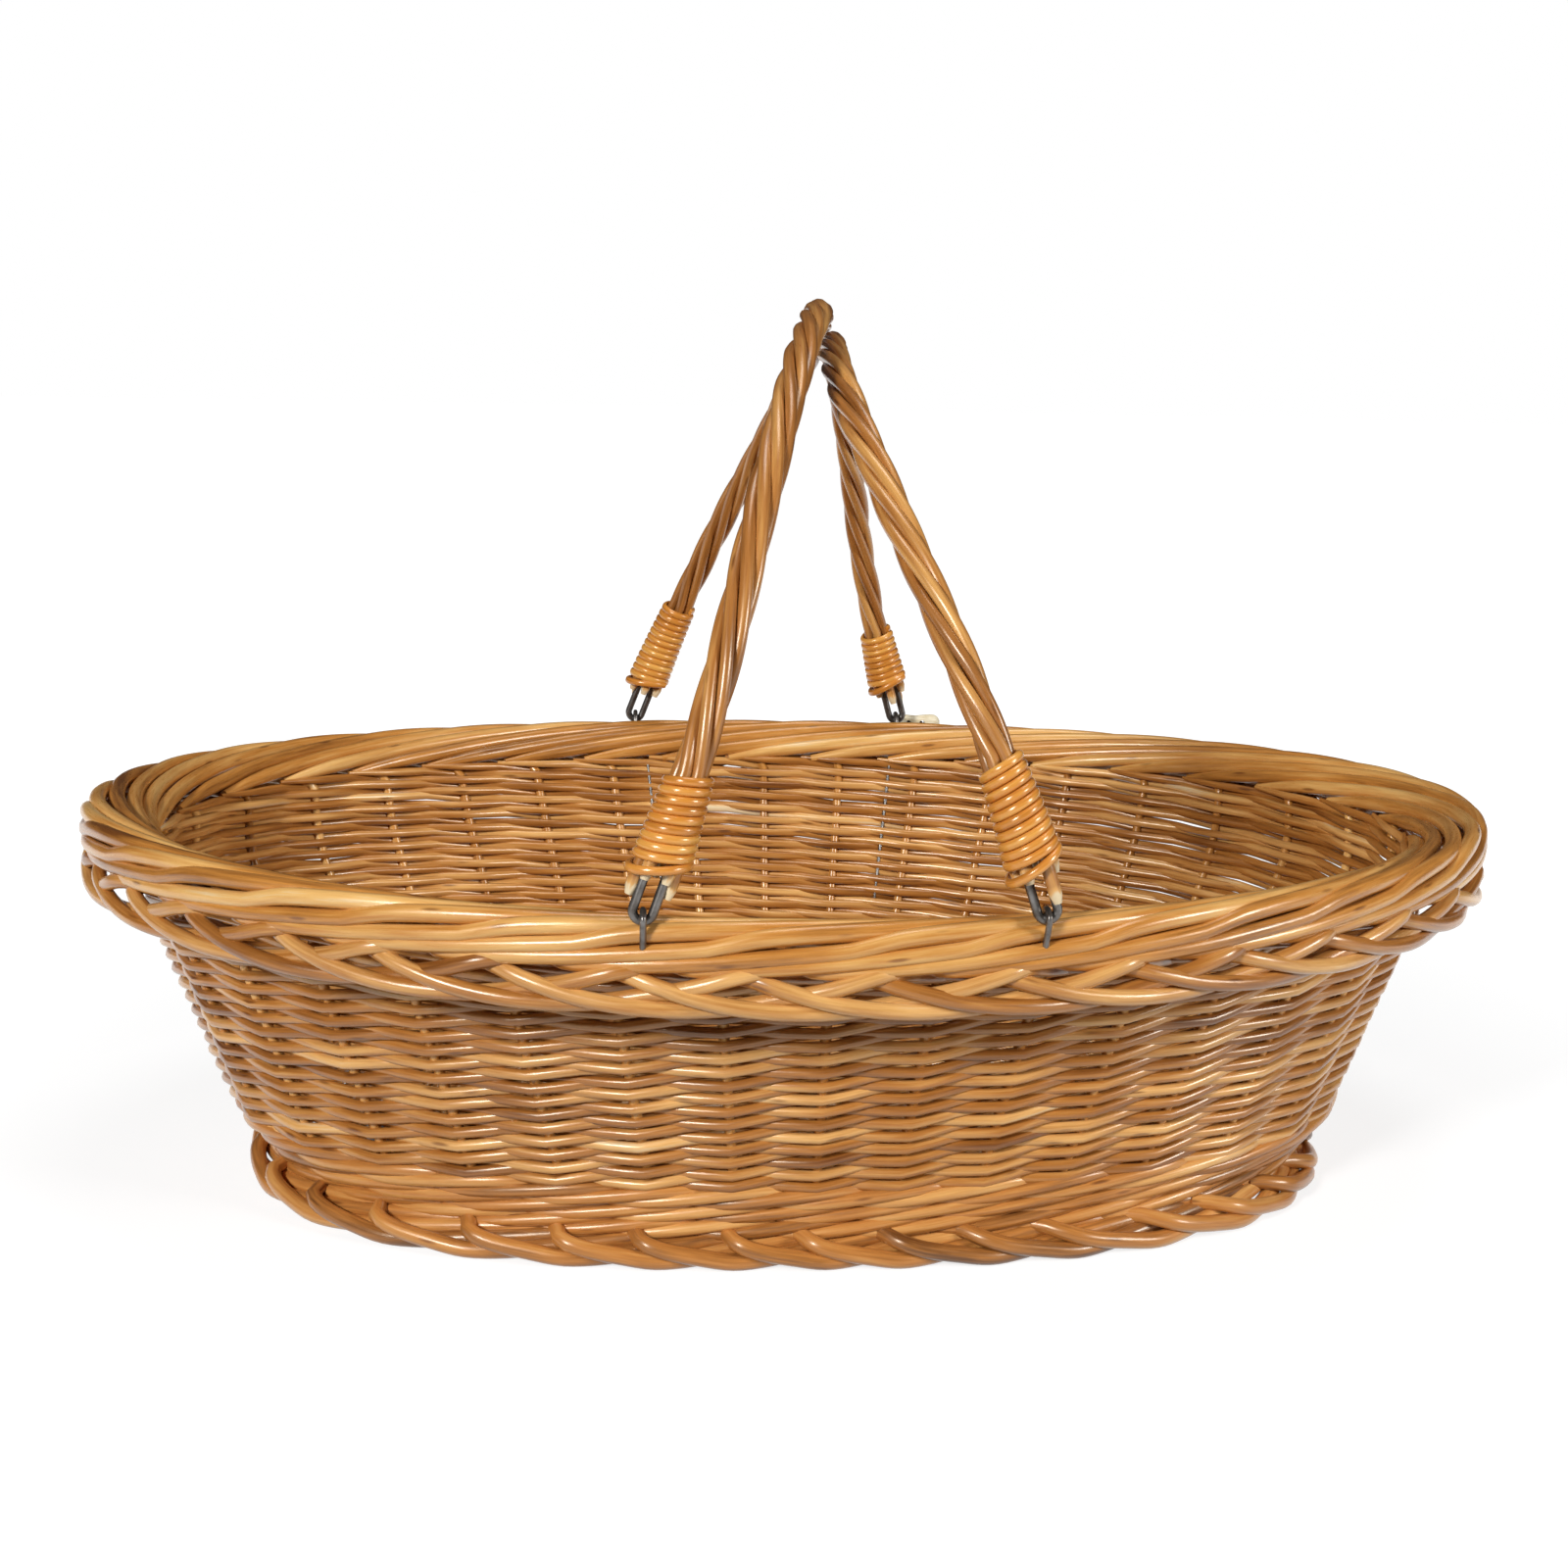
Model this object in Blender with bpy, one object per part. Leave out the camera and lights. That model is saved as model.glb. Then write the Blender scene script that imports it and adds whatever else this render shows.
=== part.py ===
# Oval market basket of willow, with two swing handles.
# Metres, +Z up. The origin is on the ground under the middle, +X runs along the basket.

import math

import bmesh
import bpy
from mathutils import Vector

# Joints between touching pieces
GAP = 0.0003

# Plan of the rim border and of the rods that stand in the wall
RIM_HALF_LENGTH = 0.2475
RIM_HALF_WIDTH = 0.1775
RIM_HEIGHT = 0.1226
RIM_END_RISE = 0.0045
RIM_HALF_BREADTH = 0.0109
RIM_HALF_THICKNESS = 0.0084
STAKE_COUNT = 36
SEGMENTS_PER_STAKE = 2
STAKE_RADIUS = 0.0018
STAKE_SIDES = 6
STAKE_CLEARANCE = 0.0003
STAKE_BEND_RISE = 0.0024

# Border that the basket stands on
FOOT_HALF_LENGTH = 0.1935
FOOT_HALF_WIDTH = 0.1273
FOOT_POWER = 2.6
FOOT_HALF_BREADTH = 0.0070
FOOT_HEIGHT = 0.0090
FOOT_FLAT_HALF_BREADTH = 0.0048
FOOT_BULGE_SHARE = 0.45

# Wall of the basket: its outline at the ground stands in from the foot's, at its top from the rim's
WALL_THICKNESS = 0.0086
WEAVER_THICKNESS = 0.0028
WALL_BOTTOM = 0.0272
WALL_TOP_DROP = 0.0046
WALL_TOP_END_INSET = 0.0115
WALL_TOP_SIDE_INSET = 0.0095
WALL_TOP_POWER = 2.0
GROUND_INSET = 0.0073
GROUND_POWER = 2.5
# How much further the wall stands out at both ends of the oval, from the heavier weave up to the braid
END_SWELL = 0.0115
END_SWELL_TOP_DROP = 0.0230
WALL_TOP = RIM_HEIGHT - WALL_TOP_DROP
WALL_TOP_HALF_LENGTH = RIM_HALF_LENGTH - WALL_TOP_END_INSET
WALL_TOP_HALF_WIDTH = RIM_HALF_WIDTH - WALL_TOP_SIDE_INSET
GROUND_HALF_LENGTH = FOOT_HALF_LENGTH - GROUND_INSET
GROUND_HALF_WIDTH = FOOT_HALF_WIDTH - GROUND_INSET

# Heavier weave at the foot of the wall
WALE_BOTTOM = 0.0093
WALE_SWELL = 0.0012

# Braid that hangs under the rim border and stands out past the rim's middle line
BRAID_END_OUTSET = 0.0116
BRAID_SIDE_OUTSET = 0.0103
BRAID_DROP = 0.0214
BRAID_HEIGHT = 0.0100
BRAID_EDGE = 0.0026
BRAID_UNDERCUT = 0.0050
BRAID_SEAT_GAP = 0.0004
BRAID_OUTER_HALF_LENGTH = RIM_HALF_LENGTH + BRAID_END_OUTSET
BRAID_OUTER_HALF_WIDTH = RIM_HALF_WIDTH + BRAID_SIDE_OUTSET
BRAID_BOTTOM = RIM_HEIGHT - BRAID_DROP

# Woven bottom and the sticks that it is woven on
BASE_THICKNESS = 0.0100
BASE_UNDERSIDE = 0.0046
CROSS_STICK_COUNT = 7
CROSS_STICK_END_MARGIN = 0.0552
CROSS_STICK_RADIUS = 0.0036
LONG_STICK_COUNT = 3
LONG_STICK_PITCH = 0.0044
OPENING_HALF_LENGTH = 0.0735
OPENING_MARGIN = 0.0010
LONG_STICK_RADIUS = 0.0018
STICK_SIDES = 10
STICK_END_SETBACK = 0.0010

# Handle bows, measured up from the hinge line in the plane of each bow
HINGE_RISE = 0.0122
HINGE_HEIGHT = RIM_HEIGHT + HINGE_RISE
HINGE_OUTSET = 0.0101
LEFT_HINGE_X = -0.0575
RIGHT_HINGE_X = 0.0618
LEFT_BOW_HEIGHT = 0.1857
LEFT_BOW_LEAN = math.radians(20.15)
BOW_CONTACT_GAP = 0.0011
BOW_CONTACT_ANGLE = math.radians(-66.0)
BOW_SWAY = 0.0097
BOW_RODS = 5
BOW_ROD_RADIUS = 0.00185
BOW_ROD_SIDES = 6
BOW_ROD_GAP = 0.00035
BOW_STATIONS = 26
BOW_TURNS = 1

# Ends of the bows, under the windings
ROD_END_HEIGHT = 0.0085
SPREAD_HALF_WIDTH = 0.0068
SPREAD_HALF_DEPTH = 0.0050
FIRST_ROD_ANGLE = math.radians(90.0)
WINDING_START = 0.0125
WINDING_LENGTH = 0.0350
WINDING_TURNS = 11
WINDING_POINTS = 12
WINDING_CLEARANCE = 0.0006
SKEIN_WIDTH = 0.00235
SKEIN_THICKNESS = 0.0013

# Steel links in the bow ends, and the wire staples that hold them to the rim
LINK_WIRE_RADIUS = 0.00145
LINK_HALF_SPREAD = 0.00305
LINK_EMBED = 0.0120
LINK_SIDES = 8
LINK_BEND_STEPS = 8
STAPLE_WIRE_RADIUS = 0.0010
STAPLE_HALF_REACH = 0.0040
STAPLE_SHOULDER = 0.0014
STAPLE_SIDES = 8
STAPLE_INNER_FOOT_OUTSET = 0.0026
STAPLE_OUTER_FOOT_OUTSET = 0.0070
STAPLE_FOOT_DROP = 0.0042
STAPLE_HOLE_CLEARANCE = 0.0003
HOLE_OVERRUN = 0.0012

# Pale wooden toggle with two holes, tied by a loop of cord to the right back staple
TOGGLE_LENGTH = 0.0230
TOGGLE_HALF_DEPTH = 0.0027
TOGGLE_HALF_HEIGHT = 0.0038
TOGGLE_HOLE_RADIUS = 0.0013
TOGGLE_HOLE_SPACING = 0.0064
TOGGLE_OFFSET = 0.0105
TOGGLE_OUTSET = 0.0113
TOGGLE_DROP = 0.0057
TOGGLE_SIDES = 10
TOGGLE_LENGTH_SHARES = (0.0, 0.12, 0.32, 0.5, 0.68, 0.88, 1.0)
TOGGLE_GIRTH_SHARES = (0.72, 0.96, 1.0, 0.86, 1.0, 0.96, 0.72)
CORD_RADIUS = 0.0006
CORD_CLEARANCE = 0.0004
CORD_SIDES = 6
CORD_BEND_STEPS = 4
CUT_OVERRUN = 0.0020

# Counts and angles of the modelling itself
RIM_SIDES = 8
FINE_SAMPLES = 1440
EDGE_SEARCH_STEPS = 8
SHARP_ANGLE = math.radians(40.0)

GOLDEN = (0.62, 0.36, 0.13)
BROWN = (0.50, 0.25, 0.08)
HONEY = (0.70, 0.43, 0.17)
PALE = (0.80, 0.66, 0.44)
ORANGE = (0.62, 0.27, 0.07)
STEEL = (0.16, 0.15, 0.14)
CORD_BROWN = (0.10, 0.06, 0.03)

RING_SEGMENTS = STAKE_COUNT * SEGMENTS_PER_STAKE


def clear_scene():
    for old in list(bpy.data.objects):
        bpy.data.objects.remove(old, do_unlink=True)


def material(name, colour, roughness, metallic=0.0):
    made = bpy.data.materials.new(name)
    made.use_nodes = True
    shader = made.node_tree.nodes["Principled BSDF"]
    shader.inputs["Base Color"].default_value = (*colour, 1.0)
    shader.inputs["Roughness"].default_value = roughness
    shader.inputs["Metallic"].default_value = metallic
    return made


def mesh_object(name, bm, look=None, smooth=True):
    """A new object from a bmesh, with its faces turned outward."""
    bmesh.ops.recalc_face_normals(bm, faces=bm.faces)
    mesh = bpy.data.meshes.new(name)
    bm.to_mesh(mesh)
    bm.free()
    if smooth:
        mesh.shade_smooth()
        mesh.set_sharp_from_angle(angle=SHARP_ANGLE)
    made = bpy.data.objects.new(name, mesh)
    bpy.context.scene.collection.objects.link(made)
    if look is not None:
        mesh.materials.append(look)
    return made


def add_skin(bm, rings, closed):
    """Faces between rings of points, each ring a loop; open skins get end faces."""
    made = [[bm.verts.new(point) for point in ring] for ring in rings]
    count = len(made)
    sides = len(made[0])
    for i in range(count if closed else count - 1):
        here = made[i]
        there = made[(i + 1) % count]
        for j in range(sides):
            k = (j + 1) % sides
            bm.faces.new((here[j], here[k], there[k], there[j]))
    if not closed:
        bm.faces.new(list(reversed(made[0])))
        bm.faces.new(made[-1])


def skin(name, rings, look, closed=False):
    bm = bmesh.new()
    add_skin(bm, rings, closed)
    return mesh_object(name, bm, look)


def round_ring(centre, first, second, radius, sides):
    """Points of a circle round centre, in the plane of two unit directions."""
    points = []
    for j in range(sides):
        angle = 2.0 * math.pi * (j + 0.5) / sides
        points.append(centre + radius * (math.cos(angle) * first + math.sin(angle) * second))
    return points


def tube_rings(path, radius, sides, side_hint):
    """Rings along a path that stays in one plane; side_hint is square to that plane."""
    rings = []
    for i, point in enumerate(path):
        before = path[max(i - 1, 0)]
        after = path[min(i + 1, len(path) - 1)]
        along = (after - before).normalized()
        across = side_hint.cross(along).normalized()
        stretch = 1.0
        if 0 < i < len(path) - 1:
            first = (point - before).normalized()
            second = (after - point).normalized()
            half_turn = 0.5 * first.angle(second, 0.0)
            stretch = 1.0 / math.cos(half_turn)
        ring = []
        for j in range(sides):
            angle = 2.0 * math.pi * (j + 0.5) / sides
            out = math.cos(angle) * stretch * across + math.sin(angle) * side_hint
            ring.append(point + radius * out)
        rings.append(ring)
    return rings


def oval_reach(half_length, half_width, power, angle):
    """Distance from the middle to the outline of a superellipse, at a polar angle."""
    along = abs(math.cos(angle)) / half_length
    across = abs(math.sin(angle)) / half_width
    return (along**power + across**power) ** (-1.0 / power)


def oval_point(half_length, half_width, power, angle, height):
    reach = oval_reach(half_length, half_width, power, angle)
    return Vector((reach * math.cos(angle), reach * math.sin(angle), height))


def even_angles(count):
    """Polar angles that step evenly along the rim."""
    fine = [2.0 * math.pi * i / FINE_SAMPLES for i in range(FINE_SAMPLES + 1)]
    points = [oval_point(RIM_HALF_LENGTH, RIM_HALF_WIDTH, 2.0, a, 0.0) for a in fine]
    run = [0.0]
    for before, after in zip(points, points[1:]):
        run.append(run[-1] + (after - before).length)
    angles = []
    i = 0
    for step in range(count):
        wanted = run[-1] * step / count
        while run[i + 1] <= wanted:
            i += 1
        share = (wanted - run[i]) / (run[i + 1] - run[i])
        angles.append(fine[i] + share * (fine[i + 1] - fine[i]))
    return angles


def rise_at(angle):
    """How much higher the rim lies here than at the middle of the long sides."""
    x = oval_reach(RIM_HALF_LENGTH, RIM_HALF_WIDTH, 2.0, angle) * math.cos(angle)
    return RIM_END_RISE * (x / RIM_HALF_LENGTH) ** 2


def wall_share(height):
    return height / WALL_TOP


def end_swell(height):
    """How much longer than a plain cone the wall's half length is at a height."""
    top = WALL_TOP - END_SWELL_TOP_DROP
    if height < WALL_BOTTOM:
        share = (height - WALE_BOTTOM) / (WALL_BOTTOM - WALE_BOTTOM)
        return END_SWELL * max(0.0, share)
    if height < top:
        return END_SWELL
    share = min(1.0, (height - top) / (WALL_TOP - top))
    return END_SWELL * (1.0 - share)


def wall_point(angle, height, depth, outset=0.0, rise=True):
    """A point of the flared wall, a given depth in from its outer face."""
    longer = end_swell(height) - depth
    low = oval_point(GROUND_HALF_LENGTH + longer, GROUND_HALF_WIDTH - depth, GROUND_POWER, angle, 0.0)
    high = oval_point(
        WALL_TOP_HALF_LENGTH + longer, WALL_TOP_HALF_WIDTH - depth, WALL_TOP_POWER, angle, WALL_TOP
    )
    share = wall_share(height)
    point = low.lerp(high, share)
    if outset:
        flat = Vector((point.x, point.y, 0.0)).normalized()
        point = point + outset * flat
    if rise:
        point.z += rise_at(angle) * share
    return point


def wall_face(angle, height, outset):
    """The wall's outer face at a height above the ground, moved straight out."""
    share = height / (WALL_TOP + rise_at(angle))
    point = wall_point(angle, share * WALL_TOP, 0.0, outset, rise=False)
    point.z = height
    return point


def ring_along(angles, section):
    """Rings of section points, one for each angle."""
    return [section(angle) for angle in angles]


def cut(target, cutter, name):
    modifier = target.modifiers.new(name, "BOOLEAN")
    modifier.operation = "DIFFERENCE"
    modifier.object = cutter
    modifier.solver = "EXACT"
    cutter.hide_render = True
    cutter.display_type = "WIRE"


def join(target, other, name):
    modifier = target.modifiers.new(name, "BOOLEAN")
    modifier.operation = "UNION"
    modifier.object = other
    modifier.solver = "EXACT"
    other.hide_render = True
    other.display_type = "WIRE"


def roll_centre(angle):
    height = RIM_HEIGHT + rise_at(angle)
    return oval_point(RIM_HALF_LENGTH, RIM_HALF_WIDTH, 2.0, angle, height)


def stake_rings(angle, radius, overrun):
    """A stake: straight up the middle of the wall, then over its top to the rim's middle."""
    middle = 0.5 * WALL_THICKNESS
    low = wall_point(angle, WALE_BOTTOM, middle)
    first = wall_point(angle, WALL_BOTTOM, middle)
    second = wall_point(angle, WALL_TOP - END_SWELL_TOP_DROP, middle)
    high = wall_point(angle, WALL_TOP, middle)
    away = (first - low).normalized()
    along = (high - second).normalized()
    round_about = Vector((0.0, 0.0, 1.0)).cross(away).normalized()
    if overrun:
        path = [low - overrun * away, first, second, high + (overrun + STAKE_BEND_RISE) * along]
    else:
        bend = high + STAKE_BEND_RISE * along
        end = roll_centre(angle)
        level = bend - (end - bend).length * along
        path = [low, first, second, level, bend, end]
    return tube_rings(path, radius, STAKE_SIDES, round_about)


def make_stakes(angles, radius, overrun, name, look):
    bm = bmesh.new()
    for angle in angles:
        add_skin(bm, stake_rings(angle, radius, overrun), False)
    return mesh_object(name, bm, look)


def make_wall(angles, stake_angles):
    honey = material("side willow", HONEY, 0.42)
    brown = material("base willow", BROWN, 0.5)
    thickness = WALL_THICKNESS

    def side_section(angle, hollow):
        between = WALL_TOP - END_SWELL_TOP_DROP
        return [
            wall_point(angle, WALL_BOTTOM, hollow),
            wall_point(angle, between, hollow),
            wall_point(angle, WALL_TOP, hollow),
            wall_point(angle, WALL_TOP, thickness - hollow),
            wall_point(angle, between, thickness - hollow),
            wall_point(angle, WALL_BOTTOM, thickness - hollow),
        ]

    def wale_section(angle):
        top = WALL_BOTTOM - GAP
        return [
            wall_point(angle, WALE_BOTTOM, 0.0, WALE_SWELL),
            wall_point(angle, top, 0.0, WALE_SWELL),
            wall_point(angle, top, thickness),
            wall_point(angle, WALE_BOTTOM, thickness),
        ]

    # The weavers lie before and behind each stake, and all in one line halfway between two stakes.
    deepest = 0.5 * (WALL_THICKNESS - WEAVER_THICKNESS)
    side_rings = []
    for i, angle in enumerate(angles):
        share = (i % SEGMENTS_PER_STAKE) / SEGMENTS_PER_STAKE
        hollow = deepest * (1.0 - abs(2.0 * share - 1.0))
        side_rings.append(side_section(angle, hollow))
    side = skin("side_weave", side_rings, honey, closed=True)
    wale = skin("bottom_wale", ring_along(angles, wale_section), brown, closed=True)
    hole = STAKE_RADIUS + STAKE_CLEARANCE
    tunnels = make_stakes(stake_angles, hole, HOLE_OVERRUN, "stake_tunnel_cutter", None)
    cut(side, tunnels, "stake tunnels")
    cut(wale, tunnels, "stake tunnels")


def make_foot(angles):
    look = material("foot willow", BROWN, 0.5)

    def section(angle):
        middle = oval_point(FOOT_HALF_LENGTH, FOOT_HALF_WIDTH, FOOT_POWER, angle, 0.0)
        out = Vector((middle.x, middle.y, 0.0)).normalized()
        top = FOOT_HEIGHT
        up = Vector((0.0, 0.0, top))
        bulge = FOOT_BULGE_SHARE * up
        return [
            middle + FOOT_FLAT_HALF_BREADTH * out,
            middle + FOOT_HALF_BREADTH * out + bulge,
            middle + FOOT_FLAT_HALF_BREADTH * out + up,
            middle - FOOT_FLAT_HALF_BREADTH * out + up,
            middle - FOOT_HALF_BREADTH * out + bulge,
            middle - FOOT_FLAT_HALF_BREADTH * out,
        ]

    skin("foot_border", ring_along(angles, section), look, closed=True)


def make_rim(angles, stake_angles, hinge_places):
    look = material("rim willow", GOLDEN, 0.38)
    braid_look = material("braid willow", HONEY, 0.4)

    def roll_section(angle):
        centre = roll_centre(angle)
        out = Vector((centre.x, centre.y, 0.0)).normalized()
        up = Vector((0.0, 0.0, RIM_HALF_THICKNESS))
        return round_ring(centre, RIM_HALF_BREADTH * out, up, 1.0, RIM_SIDES)

    roll = skin("rim_border_and_stakes", ring_along(angles, roll_section), look, closed=True)
    stakes = make_stakes(stake_angles, STAKE_RADIUS, 0.0, "stake_rods", None)
    join(roll, stakes, "stakes")
    for place in hinge_places:
        cut(roll, staple_hole(place, -1), "inner hole " + place["name"])
        cut(roll, staple_hole(place, 1), "outer hole " + place["name"])

    def braid_section(angle):
        rise = rise_at(angle)
        low = BRAID_BOTTOM + rise
        high = low + BRAID_HEIGHT
        edge = BRAID_EDGE
        outer = oval_point(BRAID_OUTER_HALF_LENGTH, BRAID_OUTER_HALF_WIDTH, 2.0, angle, low)
        out = Vector((outer.x, outer.y, 0.0)).normalized()
        centre = roll_centre(angle)
        under_roll = centre.z - RIM_HALF_THICKNESS - BRAID_SEAT_GAP
        top = min(high + edge, under_roll)
        shoulder = Vector((outer.x, outer.y, top)) - edge * out
        return [
            outer - edge * out,
            outer + edge * Vector((0.0, 0.0, 1.0)),
            Vector((outer.x, outer.y, top - edge)),
            shoulder,
            wall_face(angle, top, BRAID_SEAT_GAP),
            wall_face(angle, low + BRAID_UNDERCUT, BRAID_SEAT_GAP),
        ]

    skin("rim_braid", ring_along(angles, braid_section), braid_look, closed=True)


def make_base(angles):
    look = material("bottom willow", HONEY, 0.5)
    stick_look = material("bottom sticks", GOLDEN, 0.5)
    top = BASE_UNDERSIDE + BASE_THICKNESS

    def rim(angle, height):
        edge = wall_point(angle, WALE_BOTTOM, WALL_THICKNESS, -GAP, rise=False)
        foot = oval_point(FOOT_HALF_LENGTH, FOOT_HALF_WIDTH, FOOT_POWER, angle, 0.0)
        inner = Vector((foot.x, foot.y, 0.0))
        inner -= (FOOT_HALF_BREADTH + GAP) * inner.normalized()
        reach = min(Vector((edge.x, edge.y, 0.0)).length, inner.length)
        out = inner.normalized()
        return Vector((reach * out.x, reach * out.y, height))

    low_ring = [rim(angle, BASE_UNDERSIDE) for angle in angles]
    high_ring = [rim(angle, top) for angle in angles]
    base = skin("base_weave", [low_ring, high_ring], look)
    middle = BASE_UNDERSIDE + 0.5 * BASE_THICKNESS
    cross_cutter = bmesh.new()
    outermost = rim(0.0, top).x - CROSS_STICK_END_MARGIN
    pitch = outermost / (0.5 * (CROSS_STICK_COUNT - 1))
    offsets = [pitch * i - outermost for i in range(CROSS_STICK_COUNT)]
    x_way = Vector((1.0, 0.0, 0.0))
    y_way = Vector((0.0, 1.0, 0.0))
    z_way = Vector((0.0, 0.0, 1.0))
    slot_half_width = 0.5 * (LONG_STICK_COUNT - 1) * LONG_STICK_PITCH + LONG_STICK_RADIUS + GAP
    slot_half_height = LONG_STICK_RADIUS + GAP
    slot_half_length = RIM_HALF_LENGTH
    slot = bmesh.new()
    slot_rings = []
    for x in (-slot_half_length, slot_half_length):
        slot_rings.append(
            [
                Vector((x, -slot_half_width, middle - slot_half_height)),
                Vector((x, slot_half_width, middle - slot_half_height)),
                Vector((x, slot_half_width, middle + slot_half_height)),
                Vector((x, -slot_half_width, middle + slot_half_height)),
            ]
        )
    add_skin(slot, slot_rings, False)
    slot_cutter = mesh_object("long_slot_cutter", slot, None, smooth=False)
    for i, x in enumerate(offsets):
        outer_x = abs(x) + CROSS_STICK_RADIUS
        side_angle = math.atan2(GROUND_HALF_WIDTH, outer_x)
        for _ in range(EDGE_SEARCH_STEPS):
            edge = rim(side_angle, middle)
            side_angle = math.atan2(edge.y, outer_x)
        half = rim(side_angle, middle).y - STICK_END_SETBACK
        ends = [Vector((x, -half, middle)), Vector((x, half, middle))]
        rings = [round_ring(end, x_way, z_way, CROSS_STICK_RADIUS, STICK_SIDES) for end in ends]
        stick = skin(f"cross_stick_{i + 1}", rings, stick_look)
        cut(stick, slot_cutter, "slit for the long sticks")
        far = RIM_HALF_WIDTH
        hole = CROSS_STICK_RADIUS + GAP
        ends = [Vector((x, -far, middle)), Vector((x, far, middle))]
        add_skin(cross_cutter, [round_ring(end, x_way, z_way, hole, STICK_SIDES) for end in ends], False)
    cross_object = mesh_object("cross_tunnel_cutter", cross_cutter, None, smooth=False)
    cut(base, cross_object, "tunnels for the cross sticks")
    cut(base, slot_cutter, "tunnel for the long sticks")
    # The weaving begins round the long sticks, which stay bare along the middle with the sticks across them.
    opening_half_width = slot_half_width + OPENING_MARGIN
    opening_rings = []
    for z in (BASE_UNDERSIDE - HOLE_OVERRUN, top + HOLE_OVERRUN):
        opening_rings.append(
            [
                Vector((-OPENING_HALF_LENGTH, -opening_half_width, z)),
                Vector((OPENING_HALF_LENGTH, -opening_half_width, z)),
                Vector((OPENING_HALF_LENGTH, opening_half_width, z)),
                Vector((-OPENING_HALF_LENGTH, opening_half_width, z)),
            ]
        )
    opening = bmesh.new()
    add_skin(opening, opening_rings, False)
    opening_cutter = mesh_object("middle_opening_cutter", opening, None, smooth=False)
    cut(base, opening_cutter, "opening round the long sticks")
    for i in range(LONG_STICK_COUNT):
        y = LONG_STICK_PITCH * (i - 0.5 * (LONG_STICK_COUNT - 1))
        half = rim(0.0, middle).x - STICK_END_SETBACK
        ends = [Vector((-half, y, middle)), Vector((half, y, middle))]
        rings = [round_ring(end, y_way, z_way, LONG_STICK_RADIUS, STICK_SIDES) for end in ends]
        skin(f"long_stick_{i + 1}", rings, stick_look)


def rim_y(x):
    return RIM_HALF_WIDTH * math.sqrt(1.0 - (x / RIM_HALF_LENGTH) ** 2)


def staple_paths(place):
    """The wire of a staple from foot to foot: inner leg, bar, outer leg."""
    side = place["side"]
    x = place["x"]
    centre_y = rim_y(x)
    bar = HINGE_HEIGHT
    foot_height = RIM_HEIGHT - STAPLE_FOOT_DROP
    inner = centre_y + HINGE_OUTSET - STAPLE_HALF_REACH
    outer = centre_y + HINGE_OUTSET + STAPLE_HALF_REACH
    shoulder = STAPLE_SHOULDER
    flat = [
        (centre_y + STAPLE_INNER_FOOT_OUTSET, foot_height),
        (inner, bar - shoulder),
        (inner + shoulder, bar),
        (outer - shoulder, bar),
        (outer, bar - shoulder),
        (centre_y + STAPLE_OUTER_FOOT_OUTSET, foot_height),
    ]
    return [Vector((x, side * y, z)) for y, z in flat]


def staple_hole(place, which):
    """Cutter for one leg of a staple, a little wider than the wire and below its end."""
    path = staple_paths(place)
    foot, knee = (path[0], path[1]) if which < 0 else (path[5], path[4])
    along = (foot - knee).normalized()
    start = knee if which < 0 else knee + STAPLE_SHOULDER * along
    end = foot + HOLE_OVERRUN * along
    x_way = Vector((1.0, 0.0, 0.0))
    radius = STAPLE_WIRE_RADIUS + STAPLE_HOLE_CLEARANCE
    rings = tube_rings([start - HOLE_OVERRUN * along, end], radius, STAPLE_SIDES, x_way)
    bm = bmesh.new()
    add_skin(bm, rings, False)
    kind = "inner" if which < 0 else "outer"
    return mesh_object(f"hole_cutter_{kind}_{place['name']}", bm, None, smooth=False)


def make_staple(place, look):
    x_way = Vector((1.0, 0.0, 0.0))
    rings = tube_rings(staple_paths(place), STAPLE_WIRE_RADIUS, STAPLE_SIDES, x_way)
    skin("staple_" + place["name"], rings, look)


def twist_radius():
    """Radius at which the rods of a bow lie side by side."""
    return (BOW_ROD_RADIUS + 0.5 * BOW_ROD_GAP) / math.sin(math.pi / BOW_RODS)


def bow_frame(share, half_span, height):
    """Centre and square directions of a bow, by share of its turn from front to back."""
    angle = math.pi * share
    step = math.pi / 720.0

    def centre(a):
        sway = -BOW_SWAY * math.sin(2.0 * a) * math.sin(a)
        return Vector((sway, -half_span * math.cos(a), height * math.sin(a)))

    here = centre(angle)
    along = (centre(angle + step) - centre(angle - step)).normalized()
    across = Vector((1.0, 0.0, 0.0))
    across = (across - across.dot(along) * along).normalized()
    inward = along.cross(across)
    return here, along, across, inward


def end_share(height_above, bow_height):
    """Share of the bow's turn at which it has reached a height above its hinge."""
    return math.asin(height_above / bow_height) / math.pi


def spread_at(height_above):
    """Half width and half depth of the ring of rods: wide round the link, then closing."""
    tight = twist_radius()
    low = WINDING_START + LINK_EMBED
    high = WINDING_START + WINDING_LENGTH
    share = min(max((height_above - low) / (high - low), 0.0), 1.0)
    share = share * share * (3.0 - 2.0 * share)
    wide = SPREAD_HALF_WIDTH + share * (tight - SPREAD_HALF_WIDTH)
    deep = SPREAD_HALF_DEPTH + share * (tight - SPREAD_HALF_DEPTH)
    return wide, deep


def bow_shares(bow_height):
    """Stations along a bow, closer together where its rods spread at the ends."""
    low = end_share(ROD_END_HEIGHT, bow_height)
    embed = end_share(WINDING_START + LINK_EMBED, bow_height)
    half = end_share(WINDING_START + 0.5 * (LINK_EMBED + WINDING_LENGTH), bow_height)
    high = end_share(WINDING_START + WINDING_LENGTH, bow_height)
    middle = BOW_STATIONS - 6
    inner = [high + (1.0 - 2.0 * high) * i / (middle - 1) for i in range(middle)]
    return [low, embed, half] + inner + [1.0 - half, 1.0 - embed, 1.0 - low]


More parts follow.
